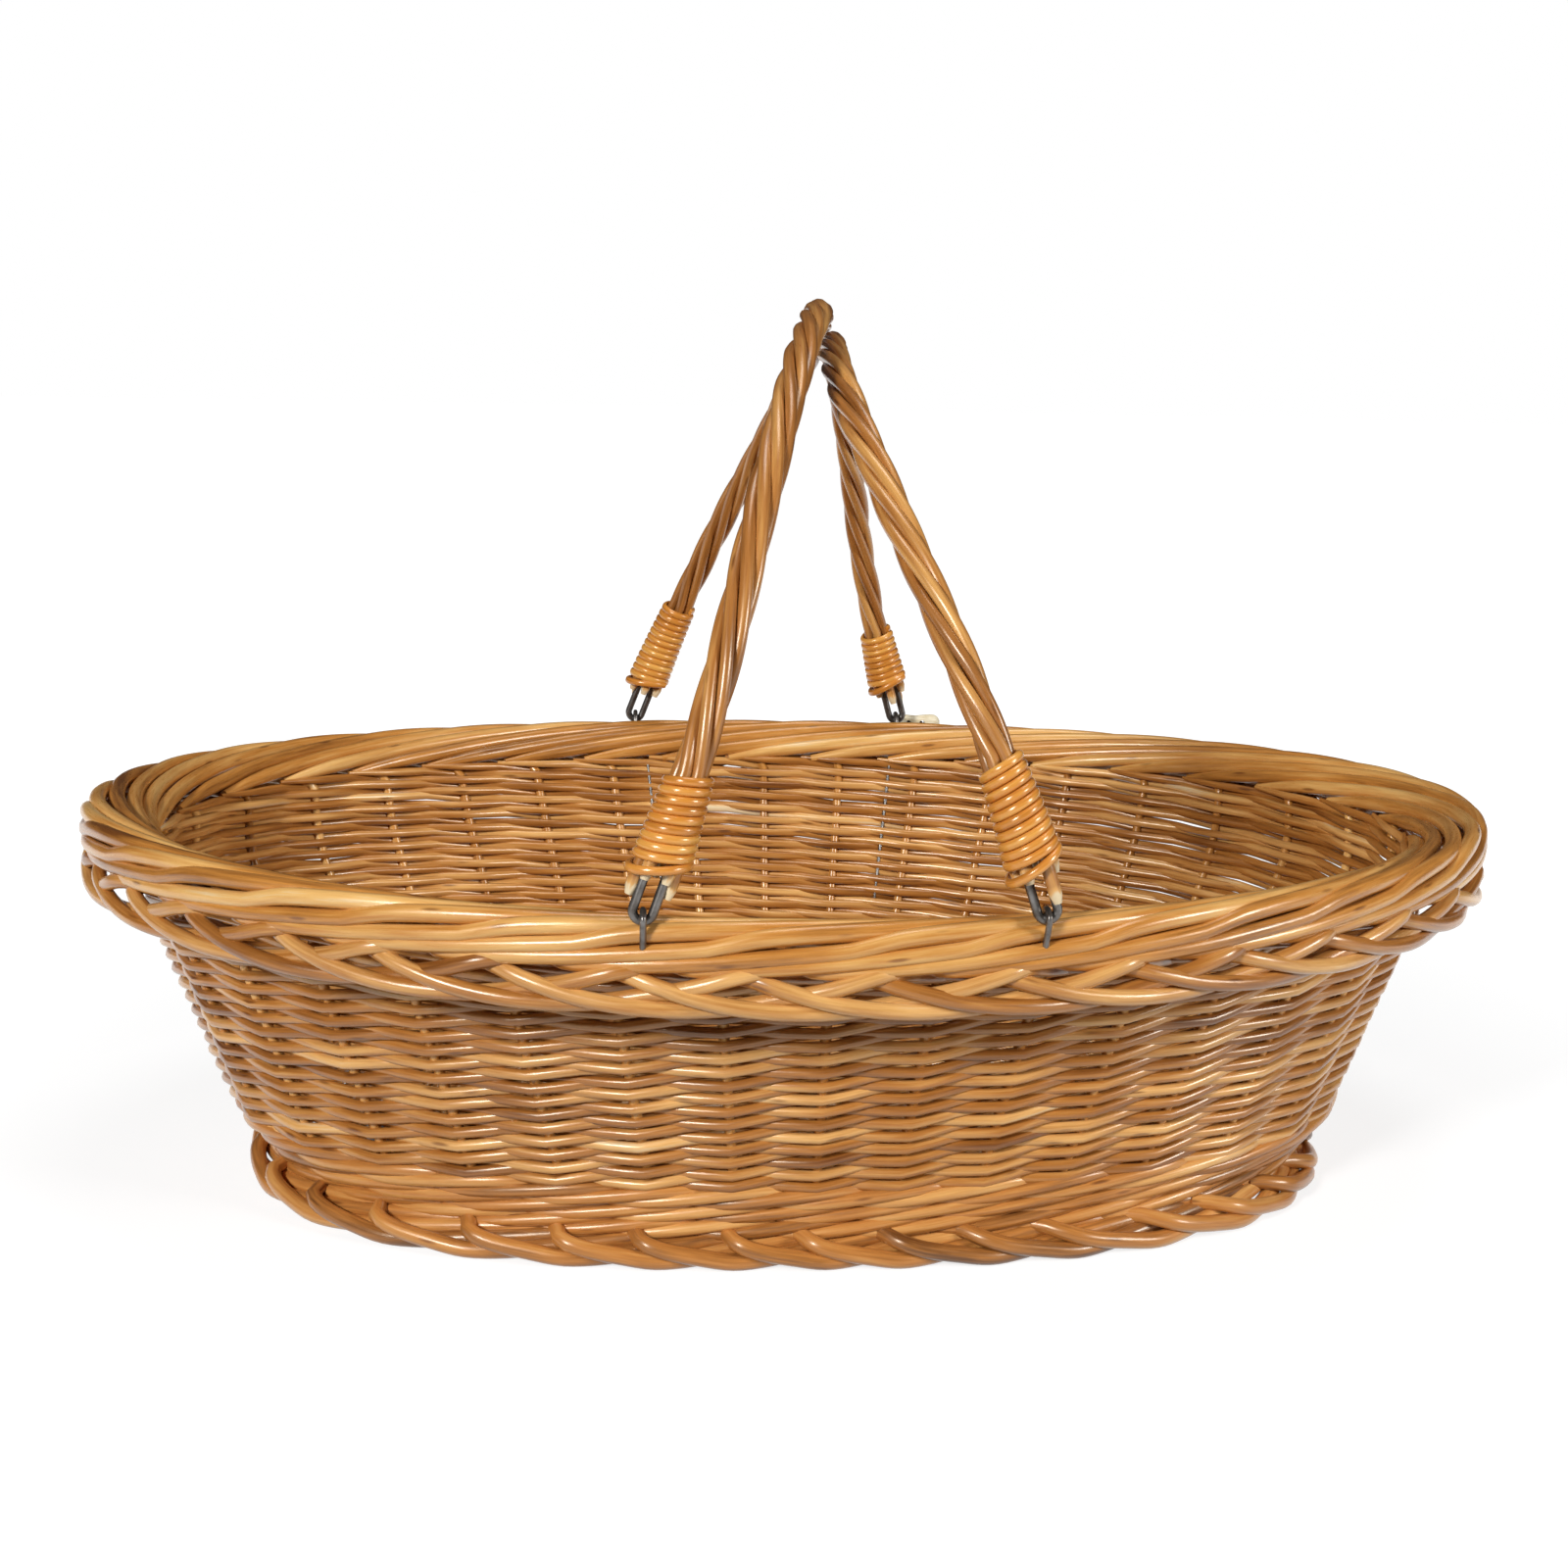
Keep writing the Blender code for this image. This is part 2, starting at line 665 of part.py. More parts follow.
def make_rod(name, index, half_span, height, look):
    rings = []
    high = end_share(WINDING_START + WINDING_LENGTH, height)
    for share in bow_shares(height):
        centre, _, across, inward = bow_frame(share, half_span, height)
        lift = height * math.sin(math.pi * share)
        wide, deep = spread_at(lift)
        turn = min(max((share - high) / (1.0 - 2.0 * high), 0.0), 1.0)
        angle = FIRST_ROD_ANGLE + 2.0 * math.pi * (index / BOW_RODS - BOW_TURNS * turn)
        middle = centre + wide * math.cos(angle) * across + deep * math.sin(angle) * inward
        rings.append(round_ring(middle, across, inward, BOW_ROD_RADIUS, BOW_ROD_SIDES))
    return skin(name, rings, look)


def winding_rings(half_span, height, back):
    """One flat skein wound round a bow's end, as a single unbroken strip."""
    count = WINDING_TURNS * WINDING_POINTS
    outer = BOW_ROD_RADIUS + WINDING_CLEARANCE + 0.5 * SKEIN_THICKNESS
    rings = []
    centres = []
    for i in range(count + 1):
        lift = WINDING_START + 0.5 * SKEIN_WIDTH + (WINDING_LENGTH - SKEIN_WIDTH) * i / count
        share = end_share(lift, height)
        if back:
            share = 1.0 - share
        centre, along, across, inward = bow_frame(share, half_span, height)
        if back:
            along = -along
        wide, deep = spread_at(lift)
        angle = 2.0 * math.pi * i / WINDING_POINTS
        ray = (wide + outer) * math.cos(angle) * across + (deep + outer) * math.sin(angle) * inward
        normal = (deep + outer) * math.cos(angle) * across + (wide + outer) * math.sin(angle) * inward
        normal.normalize()
        middle = centre + ray
        centres.append(middle)
        half_w = 0.5 * SKEIN_WIDTH * along
        half_t = 0.5 * SKEIN_THICKNESS * normal
        low = middle - half_w
        high = middle + half_w
        rings.append([low - half_t, high - half_t, high + half_t, low + half_t])
    # The strip's two ends run on straight for one width of the skein.
    first = (centres[0] - centres[1]).normalized() * SKEIN_WIDTH
    last = (centres[-1] - centres[-2]).normalized() * SKEIN_WIDTH
    rings.insert(0, [point + first for point in rings[0]])
    rings.append([point + last for point in rings[-1]])
    return rings


def least_gap(rings):
    """Least distance between the facing edges of neighbouring turns, from their points."""
    best = None
    for i in range(1, len(rings) - 1 - WINDING_POINTS):
        low = rings[i]
        high = rings[i + WINDING_POINTS]
        for upper in (low[1], low[2]):
            for lower in (high[0], high[3]):
                distance = (lower - upper).length
                best = distance if best is None else min(best, distance)
    return best


def make_link(name, half_span, height, back, look):
    """A bent wire whose two legs run up between the rods of a bow's end."""
    side = 1.0 if back else -1.0
    top = WINDING_START + LINK_EMBED - GAP
    x_way = Vector((1.0, 0.0, 0.0))
    reach = LINK_HALF_SPREAD
    share = end_share(top, height)
    if back:
        share = 1.0 - share
    centre, _, across, _ = bow_frame(share, half_span, height)
    path = [centre - reach * across]
    for i in range(LINK_BEND_STEPS + 1):
        angle = math.pi + math.pi * i / LINK_BEND_STEPS
        path.append(Vector((reach * math.cos(angle), side * half_span, reach * math.sin(angle))))
    path.append(centre + reach * across)
    lean = (path[0] - path[1]).normalized()
    hint = lean.cross(x_way).normalized()
    return skin(name, tube_rings(path, LINK_WIRE_RADIUS, LINK_SIDES, hint), look)


def make_handle(prefix, hinge_x, lean, half_span, height, looks):
    hinge = bpy.data.objects.new(prefix + "_hinge", None)
    hinge.location = (hinge_x, 0.0, HINGE_HEIGHT)
    hinge.rotation_euler = (0.0, lean, 0.0)
    bpy.context.scene.collection.objects.link(hinge)
    pieces = []
    for i in range(BOW_RODS):
        pieces.append(make_rod(f"{prefix}_rod_{i + 1}", i, half_span, height, looks["rod"]))
    for back, place in ((False, "front"), (True, "back")):
        rings = winding_rings(half_span, height, back)
        print(f"{prefix} {place} winding: least gap to itself {1000.0 * least_gap(rings):.3f} mm")
        pieces.append(skin(f"{prefix}_{place}_winding", rings, looks["skein"]))
        pieces.append(make_link(f"{prefix}_{place}_link", half_span, height, back, looks["steel"]))
    for piece in pieces:
        piece.parent = hinge
    return hinge


def staple_point(place, height):
    """The middle of a staple's outer leg at a height."""
    path = staple_paths(place)
    return path[4].lerp(path[5], (path[4].z - height) / (path[4].z - path[5].z))


def closed_tube_rings(path, radius, sides, side_hint):
    """Rings along a closed path in one plane; side_hint is square to that plane."""
    rings = []
    for i, point in enumerate(path):
        before = (point - path[i - 1]).normalized()
        after = (path[(i + 1) % len(path)] - point).normalized()
        across = side_hint.cross((before + after).normalized())
        stretch = 1.0 / math.cos(0.5 * before.angle(after, 0.0))
        ring = []
        for j in range(sides):
            angle = 2.0 * math.pi * (j + 0.5) / sides
            out = math.cos(angle) * stretch * across + math.sin(angle) * side_hint
            ring.append(point + radius * out)
        rings.append(ring)
    return rings


def make_toggle(place):
    """Short turned peg with two holes, and the cord that ties it to its staple."""
    look = material("pale wood", PALE, 0.55)
    cord_look = material("dark cord", CORD_BROWN, 0.7)
    y_way = Vector((0.0, 1.0, 0.0))
    z_way = Vector((0.0, 0.0, 1.0))
    x_way = Vector((1.0, 0.0, 0.0))
    height = HINGE_HEIGHT - TOGGLE_DROP
    middle_x = place["x"] + TOGGLE_OFFSET
    middle_y = rim_y(place["x"]) + HINGE_OUTSET + TOGGLE_OUTSET
    start = middle_x - 0.5 * TOGGLE_LENGTH
    rings = []
    for along_share, girth_share in zip(TOGGLE_LENGTH_SHARES, TOGGLE_GIRTH_SHARES):
        centre = Vector((start + along_share * TOGGLE_LENGTH, middle_y, height))
        depth = girth_share * TOGGLE_HALF_DEPTH
        tall = girth_share * TOGGLE_HALF_HEIGHT
        rings.append(round_ring(centre, depth * y_way, tall * z_way, 1.0, TOGGLE_SIDES))
    toggle = skin("anchor_toggle", rings, look)
    left_x = middle_x - 0.5 * TOGGLE_HOLE_SPACING
    right_x = middle_x + 0.5 * TOGGLE_HOLE_SPACING
    holes = bmesh.new()
    for x in (left_x, right_x):
        far = TOGGLE_HALF_DEPTH + CUT_OVERRUN
        ends = [Vector((x, middle_y - far, height)), Vector((x, middle_y + far, height))]
        tunnel = [round_ring(end, x_way, z_way, TOGGLE_HOLE_RADIUS, TOGGLE_SIDES) for end in ends]
        add_skin(holes, tunnel, False)
    cut(toggle, mesh_object("toggle_hole_cutter", holes, None, smooth=False), "holes")
    # The cord goes round the staple's outer leg, along the peg, in at one hole and out at the other.
    leg = staple_point(place, height)
    reach = STAPLE_WIRE_RADIUS + CORD_CLEARANCE + CORD_RADIUS
    near_y = middle_y - TOGGLE_HALF_DEPTH - CORD_CLEARANCE - CORD_RADIUS
    first_y = near_y - 2.0 * CORD_RADIUS - CORD_CLEARANCE
    far_y = middle_y + TOGGLE_HALF_DEPTH + CORD_CLEARANCE + CORD_RADIUS
    flat = [
        (leg.x + reach, first_y),
        (right_x, first_y),
        (right_x, far_y),
        (left_x, far_y),
        (left_x, near_y),
        (leg.x - reach, near_y),
    ]
    for i in range(CORD_BEND_STEPS + 1):
        angle = math.pi + math.pi * i / CORD_BEND_STEPS
        flat.append((leg.x + reach * math.cos(angle), leg.y + reach * math.sin(angle)))
    path = [Vector((x, y, height)) for x, y in flat]
    skin("toggle_cord", closed_tube_rings(path, CORD_RADIUS, CORD_SIDES, z_way), cord_look, closed=True)


def main():
    clear_scene()
    angles = even_angles(RING_SEGMENTS)
    stake_angles = even_angles(RING_SEGMENTS)[:: SEGMENTS_PER_STAKE]
    places = []
    for name, x in (("left", LEFT_HINGE_X), ("right", RIGHT_HINGE_X)):
        for side, where in ((-1.0, "front"), (1.0, "back")):
            places.append({"name": f"{name}_{where}", "x": x, "side": side})
    make_foot(angles)
    make_base(angles)
    make_wall(angles, stake_angles)
    make_rim(angles, stake_angles, places)
    steel = material("dark steel", STEEL, 0.35, 0.9)
    for place in places:
        make_staple(place, steel)
    looks = {
        "rod": material("handle willow", GOLDEN, 0.36),
        "skein": material("handle skein", ORANGE, 0.25),
        "steel": steel,
    }
    half_spans = [rim_y(x) + HINGE_OUTSET for x in (LEFT_HINGE_X, RIGHT_HINGE_X)]
    make_handle("left", LEFT_HINGE_X, LEFT_BOW_LEAN, half_spans[0], LEFT_BOW_HEIGHT, looks)
    # The right bow's crown lies against the underside of the left one's.
    crown_x = LEFT_HINGE_X + LEFT_BOW_HEIGHT * math.sin(LEFT_BOW_LEAN)
    crown_z = LEFT_BOW_HEIGHT * math.cos(LEFT_BOW_LEAN)
    apart = 2.0 * (twist_radius() + BOW_ROD_RADIUS) + BOW_CONTACT_GAP
    reach_x = crown_x + apart * math.cos(BOW_CONTACT_ANGLE) - RIGHT_HINGE_X
    reach_z = crown_z + apart * math.sin(BOW_CONTACT_ANGLE)
    right_height = math.hypot(reach_x, reach_z)
    right_lean = math.atan2(reach_x, reach_z)
    make_handle("right", RIGHT_HINGE_X, right_lean, half_spans[1], right_height, looks)
    make_toggle(places[3])


main()
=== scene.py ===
import math
import random

import bmesh
import bpy
from bpy.props import FloatProperty, FloatVectorProperty, IntProperty, PointerProperty
from mathutils import Matrix, Vector


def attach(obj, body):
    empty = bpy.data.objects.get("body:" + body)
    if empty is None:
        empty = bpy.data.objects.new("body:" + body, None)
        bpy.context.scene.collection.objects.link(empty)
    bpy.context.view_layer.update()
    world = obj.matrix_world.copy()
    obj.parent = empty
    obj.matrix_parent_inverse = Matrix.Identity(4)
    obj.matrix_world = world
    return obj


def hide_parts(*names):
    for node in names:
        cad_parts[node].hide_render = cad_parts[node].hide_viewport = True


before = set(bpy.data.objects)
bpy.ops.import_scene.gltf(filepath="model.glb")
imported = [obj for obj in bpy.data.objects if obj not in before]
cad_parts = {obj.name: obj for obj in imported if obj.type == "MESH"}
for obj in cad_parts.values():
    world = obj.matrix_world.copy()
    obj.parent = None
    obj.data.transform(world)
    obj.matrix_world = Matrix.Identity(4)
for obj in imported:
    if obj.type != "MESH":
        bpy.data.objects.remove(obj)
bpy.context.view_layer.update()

bl_info = {
    "name": "Willow market basket",
    "version": (1, 0, 0),
    "blender": (4, 5, 0),
    "location": "View3D > Sidebar > Basket",
    "description": "Builds an oval willow market basket with two swinging handles of twisted rods",
    "category": "Add Mesh",
}

# Sizes that the solid model already fixes, in metres
RIM_HALF_LENGTH = 0.2475
RIM_HALF_WIDTH = 0.1775
RIM_HEIGHT = 0.1226
RIM_END_RISE = 0.0045
RIM_HALF_BREADTH = 0.0109
RIM_HALF_THICKNESS = 0.0084
STAKE_COUNT = 36
STAKE_RADIUS = 0.0018
WALL_THICKNESS = 0.0086
WALL_BOTTOM = 0.0272
WALL_TOP = 0.1180
WALL_TOP_HALF_LENGTH = 0.2360
WALL_TOP_HALF_WIDTH = 0.1680
WALL_TOP_POWER = 2.0
GROUND_HALF_LENGTH = 0.1862
GROUND_HALF_WIDTH = 0.1200
GROUND_POWER = 2.5
END_SWELL = 0.0115
END_SWELL_TOP = 0.0950
WALE_BOTTOM = 0.0093
WALE_SWELL = 0.0012
FOOT_HALF_LENGTH = 0.1935
FOOT_HALF_WIDTH = 0.1273
FOOT_POWER = 2.6
FOOT_HALF_BREADTH = 0.0070
FOOT_HEIGHT = 0.0090
BRAID_OUTSET = 0.0110
BRAID_BOTTOM = 0.1012
BASE_MIDDLE = 0.0096
BASE_HALF_THICKNESS = 0.0050
BASE_HALF_LENGTH = 0.1812
BASE_HALF_WIDTH = 0.1149
CROSS_STICK_COUNT = 7
CROSS_STICK_PITCH = 0.0420
LONG_STICK_COUNT = 3
LONG_STICK_PITCH = 0.0044
HINGE_HEIGHT = 0.1348
HINGE_OUTSET = 0.0101
LEFT_HINGE_X = -0.0575
RIGHT_HINGE_X = 0.0618
LEFT_BOW_HEIGHT = 0.1857
LEFT_BOW_LEAN = math.radians(20.15)
BOW_CONTACT_GAP = 0.0011
BOW_CONTACT_ANGLE = math.radians(-66.0)
BOW_SWAY = 0.0097
BOW_RODS = 5
BOW_ROD_RADIUS = 0.00185
BOW_ROD_GAP = 0.00035
WINDING_START = 0.0125
LINK_EMBED = 0.0120
LINK_HALF_SPREAD = 0.00305
LINK_WIRE_RADIUS = 0.00145
STAPLE_WIRE_RADIUS = 0.0010
STAPLE_FOOT_DROP = 0.0042
TOGGLE_LENGTH = 0.0230
TOGGLE_HALF_DEPTH = 0.0027
TOGGLE_HALF_HEIGHT = 0.0038
TOGGLE_HOLE_RADIUS = 0.0013
TOGGLE_HOLE_SPACING = 0.0064
TOGGLE_OFFSET = 0.0105
TOGGLE_OUTSET = 0.0113
TOGGLE_DROP = 0.0057
CORD_RADIUS = 0.0006

# Sizes that only the drawn rods have, in metres
BASE_EDGE_ROUNDS = 2
CROSS_STICK_RADIUS = 0.0030
LONG_STICK_RADIUS = 0.0018
STICK_OVERHANG = 0.0010
WALE_LAPS = 3
WALE_WAVE = 0.0027
WALE_OVERLAP = 0.0022
WALE_FLARE = 0.0030
WALE_FLARE_HEIGHT = 0.0080
WEAVER_START = -1.75
WEAVER_HEIGHT_JITTER = 0.00025
WEAVER_OUTSET_JITTER = 0.00012
STAKE_TOP_DROP = 0.0060
SPREAD_HALF_WIDTH = 0.0056
SPREAD_HALF_DEPTH = 0.0046
SHANK_RADIUS = 0.0007
SHANK_DEPTH = 0.0030
SHANK_TOP_DROP = 0.0030
SHANK_BOTTOM_DROP = 0.0600
STAPLE_LEG_OUTSET = 0.0118
CORD_GAP = 0.0004

# The camera of the photograph and the lamps
CAMERA_PLACE = (-0.0642, -0.7974, 0.2918)
CAMERA_HEADING = -0.0766
CAMERA_DIP = 0.1911
CAMERA_ROLL = 0.0186
LENS_LENGTH = 49.85
SENSOR_WIDTH = 36.0
LAMP_TARGET = (0.0, 0.0, 0.1)
LAMPS = (
    ("key_lamp", "key_power", 0.45, (-1.25, -1.8, 1.15)),
    ("fill_lamp", "fill_power", 0.5, (1.9, -1.2, 0.9)),
    ("top_lamp", "top_power", 1.0, (0.2, 0.2, 2.2)),
)

X_WAY = Vector((1.0, 0.0, 0.0))
Z_WAY = Vector((0.0, 0.0, 1.0))


# Shape of the basket: outline, wall and border

def oval_reach(half_length, half_width, power, angle):
    along = abs(math.cos(angle)) / half_length
    across = abs(math.sin(angle)) / half_width
    return (along**power + across**power) ** (-1.0 / power)


def oval_point(half_length, half_width, power, angle, height):
    reach = oval_reach(half_length, half_width, power, angle)
    return Vector((reach * math.cos(angle), reach * math.sin(angle), height))


def even_angle_table(count):
    """Polar angles that step evenly along the rim, count of them to a round."""
    samples = 1440
    fine = [2.0 * math.pi * i / samples for i in range(samples + 1)]
    points = [oval_point(RIM_HALF_LENGTH, RIM_HALF_WIDTH, 2.0, a, 0.0) for a in fine]
    run = [0.0]
    for before, after in zip(points, points[1:]):
        run.append(run[-1] + (after - before).length)
    angles = []
    i = 0
    for step in range(count):
        wanted = run[-1] * step / count
        while run[i + 1] <= wanted:
            i += 1
        share = (wanted - run[i]) / (run[i + 1] - run[i])
        angles.append(fine[i] + share * (fine[i + 1] - fine[i]))
    return angles


ANGLE_STEPS = 16
ANGLES = even_angle_table(STAKE_COUNT * ANGLE_STEPS)


def stake_angle(place):
    """Polar angle of a place counted in stakes, from the right end round to the back."""
    spot = (place % STAKE_COUNT) * ANGLE_STEPS
    low = int(spot) % len(ANGLES)
    high = (low + 1) % len(ANGLES)
    first = ANGLES[low]
    second = ANGLES[high] if high else 2.0 * math.pi
    return first + (spot - int(spot)) * (second - first)


def rise_at(angle):
    x = oval_reach(RIM_HALF_LENGTH, RIM_HALF_WIDTH, 2.0, angle) * math.cos(angle)
    return RIM_END_RISE * (x / RIM_HALF_LENGTH) ** 2


def end_swell(height):
    """How much longer than a plain cone the wall's half length is at a height."""
    below = min(max((height - WALE_BOTTOM) / (WALL_BOTTOM - WALE_BOTTOM), 0.0), 1.0)
    above = min(max((WALL_TOP - height) / (WALL_TOP - END_SWELL_TOP), 0.0), 1.0)
    return END_SWELL * min(below, above)


def wall_place(place, height, outset):
    """A point on the middle of the flared wall, moved out by outset."""
    angle = stake_angle(place)
    depth = 0.5 * WALL_THICKNESS
    longer = end_swell(height) - depth
    low = oval_point(GROUND_HALF_LENGTH + longer, GROUND_HALF_WIDTH - depth, GROUND_POWER, angle, 0.0)
    high = oval_point(
        WALL_TOP_HALF_LENGTH + longer, WALL_TOP_HALF_WIDTH - depth, WALL_TOP_POWER, angle, WALL_TOP
    )
    share = height / WALL_TOP
    point = low.lerp(high, share)
    flat = Vector((point.x, point.y, 0.0)).normalized()
    point += outset * flat
    point.z += rise_at(angle) * share
    return point


def roll_place(place, out, up):
    """A point by the middle of the rolled border, moved out and up."""
    angle = stake_angle(place)
    centre = oval_point(RIM_HALF_LENGTH, RIM_HALF_WIDTH, 2.0, angle, RIM_HEIGHT + rise_at(angle))
    flat = Vector((centre.x, centre.y, 0.0)).normalized()
    return centre + out * flat + up * Z_WAY


def foot_place(place, out, height):
    angle = stake_angle(place)
    middle = oval_point(FOOT_HALF_LENGTH, FOOT_HALF_WIDTH, FOOT_POWER, angle, 0.0)
    flat = middle.normalized()
    return middle + out * flat + height * Z_WAY


def rim_y(x):
    return RIM_HALF_WIDTH * math.sqrt(1.0 - (x / RIM_HALF_LENGTH) ** 2)


# Paths of rods

def smooth_through(knots, steps):
    """Samples of a smooth curve through knots of (place, value, value, ...)."""
    count = len(knots)
    slopes = []
    for i in range(count):
        before = knots[max(i - 1, 0)]
        after = knots[min(i + 1, count - 1)]
        width = after[0] - before[0]
        slopes.append([(b - a) / width for a, b in zip(before[1:], after[1:])])
    samples = []
    for i in range(count - 1):
        start = knots[i]
        end = knots[i + 1]
        width = end[0] - start[0]
        pieces = max(1, round(width * steps))
        for j in range(pieces + (1 if i == count - 2 else 0)):
            t = j / pieces
            sample = [start[0] + t * width]
            for k in range(1, len(start)):
                a = start[k]
                b = end[k]
                pull_a = slopes[i][k - 1] * width
                pull_b = slopes[i + 1][k - 1] * width
                value = (2.0 * t**3 - 3.0 * t**2 + 1.0) * a + (t**3 - 2.0 * t**2 + t) * pull_a
                value += (3.0 * t**2 - 2.0 * t**3) * b + (t**3 - t**2) * pull_b
                sample.append(value)
            samples.append(sample)
    return samples


def new_rod(points, radii, tone, closed=False, tones=None):
    """A rod as its path, its radius at each point and the shade of its skin."""
    return {"points": points, "radii": radii, "tone": tone, "closed": closed, "tones": tones}


def taper_ends(radii, first, last, steps):
    """Radii that narrow to a share of their size over some points at either end."""
    count = len(radii)
    for i in range(min(steps, count)):
        share = i / steps
        radii[i] *= first + (1.0 - first) * share
        radii[count - 1 - i] *= last + (1.0 - last) * share
    return radii


def rod_paths_object(name, rods):
    """All the rods' paths as one object of edges, with what the sweep needs on each point."""
    points = []
    edges = []
    radii = []
    tones = []
    along = []
    for number, rod in enumerate(rods):
        first = len(points)
        run = 1.7 * number
        for i, point in enumerate(rod["points"]):
            if i:
                run += (point - rod["points"][i - 1]).length
                edges.append((first + i - 1, first + i))
            points.append(point)
            radii.append(rod["radii"][i])
            tones.append(rod["tones"][i] if rod["tones"] else rod["tone"])
            along.append(run)
        if rod["closed"]:
            edges.append((len(points) - 1, first))
    mesh = bpy.data.meshes.new(name)
    mesh.from_pydata(points, edges, [])
    for label, values in (("rod_radius", radii), ("rod_tone", tones), ("rod_along", along)):
        stored = mesh.attributes.new(label, "FLOAT", "POINT")
        stored.data.foreach_set("value", values)
    made = bpy.data.objects.new(name, mesh)
    bpy.context.scene.collection.objects.link(made)
    return made


def add_node(tree, kind, x, y, **settings):
    node = tree.nodes.new(kind)
    node.location = (x, y)
    for key, value in settings.items():
        setattr(node, key, value)
    return node


def named_node(tree, kind, label, x, y, **settings):
    """A node that reads, stores or drops the attribute of that name."""
    node = add_node(tree, kind, x, y, **settings)
    node.inputs["Name"].default_value = label
    return node


def rod_sweep_tree():
    """Turns paths into round rods, and keeps each point's place on its rod as if it were straight."""
    name = "rod_sweep"
    if name in bpy.data.node_groups:
        return bpy.data.node_groups[name]
    tree = bpy.data.node_groups.new(name, "GeometryNodeTree")
    face = tree.interface
    face.new_socket("Paths", in_out="INPUT", socket_type="NodeSocketGeometry")
    sides = face.new_socket("Rod Sides", in_out="INPUT", socket_type="NodeSocketInt")
    sides.default_value = 10
    sides.min_value = 3
    factor = face.new_socket("Thickness Factor", in_out="INPUT", socket_type="NodeSocketFloat")
    factor.default_value = 1.0
    face.new_socket("Finish", in_out="INPUT", socket_type="NodeSocketMaterial")
    face.new_socket("Rods", in_out="OUTPUT", socket_type="NodeSocketGeometry")
    read = "GeometryNodeInputNamedAttribute"
    write = "GeometryNodeStoreNamedAttribute"
    drop = "GeometryNodeRemoveAttribute"
    start = add_node(tree, "NodeGroupInput", -900, 0)
    curve = add_node(tree, "GeometryNodeMeshToCurve", -700, 100)
    circle = add_node(tree, "GeometryNodeCurvePrimitiveCircle", -700, -200)
    circle.inputs["Radius"].default_value = 1.0
    spot = add_node(tree, "GeometryNodeInputPosition", -700, -400)
    keep = add_node(tree, "GeometryNodeCaptureAttribute", -500, -200)
    keep.capture_items.new("VECTOR", "Around")
    radius = named_node(tree, read, "rod_radius", -700, -550, data_type="FLOAT")
    along = named_node(tree, read, "rod_along", -100, -550, data_type="FLOAT")
    size = add_node(tree, "ShaderNodeMath", -450, -500, operation="MULTIPLY")
    sweep = add_node(tree, "GeometryNodeCurveToMesh", -250, 0)
    sweep.inputs["Fill Caps"].default_value = True
    apart = add_node(tree, "ShaderNodeSeparateXYZ", -100, -250)
    wide = add_node(tree, "ShaderNodeMath", 60, -250, operation="MULTIPLY")
    deep = add_node(tree, "ShaderNodeMath", 60, -400, operation="MULTIPLY")
    placed = add_node(tree, "ShaderNodeCombineXYZ", 220, -300)
    again = named_node(tree, read, "rod_radius", -100, -700, data_type="FLOAT")
    store = named_node(tree, write, "rod_place", 380, 0, data_type="FLOAT_VECTOR", domain="POINT")
    drop_radius = named_node(tree, drop, "rod_radius", 540, 0)
    drop_along = named_node(tree, drop, "rod_along", 700, 0)
    smooth = add_node(tree, "GeometryNodeSetShadeSmooth", 860, 0)
    real = add_node(tree, "GeometryNodeRealizeInstances", 1020, 0)
    paint = add_node(tree, "GeometryNodeSetMaterial", 1180, 0)
    end = add_node(tree, "NodeGroupOutput", 1340, 0)
    for source, output, target, entry in (
        (start, "Paths", curve, "Mesh"),
        (start, "Rod Sides", circle, "Resolution"),
        (circle, "Curve", keep, "Geometry"),
        (spot, "Position", keep, "Around"),
        (curve, "Curve", sweep, "Curve"),
        (keep, "Geometry", sweep, "Profile Curve"),
        (radius, "Attribute", size, 0),
        (start, "Thickness Factor", size, 1),
        (size, 0, sweep, "Scale"),
        (keep, "Around", apart, 0),
        (apart, "X", wide, 0),
        (again, "Attribute", wide, 1),
        (apart, "Y", deep, 0),
        (again, "Attribute", deep, 1),
        (along, "Attribute", placed, "X"),
        (wide, 0, placed, "Y"),
        (deep, 0, placed, "Z"),
        (sweep, "Mesh", store, "Geometry"),
        (placed, "Vector", store, "Value"),
        (store, "Geometry", drop_radius, "Geometry"),
        (drop_radius, "Geometry", drop_along, "Geometry"),
        (drop_along, "Geometry", smooth, "Geometry"),
        (smooth, "Geometry", real, "Geometry"),
        (real, "Geometry", paint, "Geometry"),
        (start, "Finish", paint, "Material"),
        (paint, "Geometry", end, "Rods"),
    ):
        tree.links.new(source.outputs[output], target.inputs[entry])
    return tree


def make_plain(made):
    """Keeps what an object's modifiers make as its own mesh, without the modifiers."""
    graph = bpy.context.evaluated_depsgraph_get()
    result = bpy.data.meshes.new_from_object(made.evaluated_get(graph))
    result.name = made.name
    made.modifiers.clear()
    made.data = result
    return made


def sweep_rods(name, rods, sides, finish):
    made = rod_paths_object(name, rods)
    tree = rod_sweep_tree()
    modifier = made.modifiers.new("rod sweep", "NODES")
    modifier.node_group = tree
    wanted = {"Rod Sides": sides, "Thickness Factor": 1.0, "Finish": finish}
    for item in tree.interface.items_tree:
        if item.item_type == "SOCKET" and item.in_out == "INPUT" and item.name in wanted:
            modifier[item.identifier] = wanted[item.name]
    make_plain(made)
    made.data.set_sharp_from_angle(angle=math.radians(55.0))
    return made


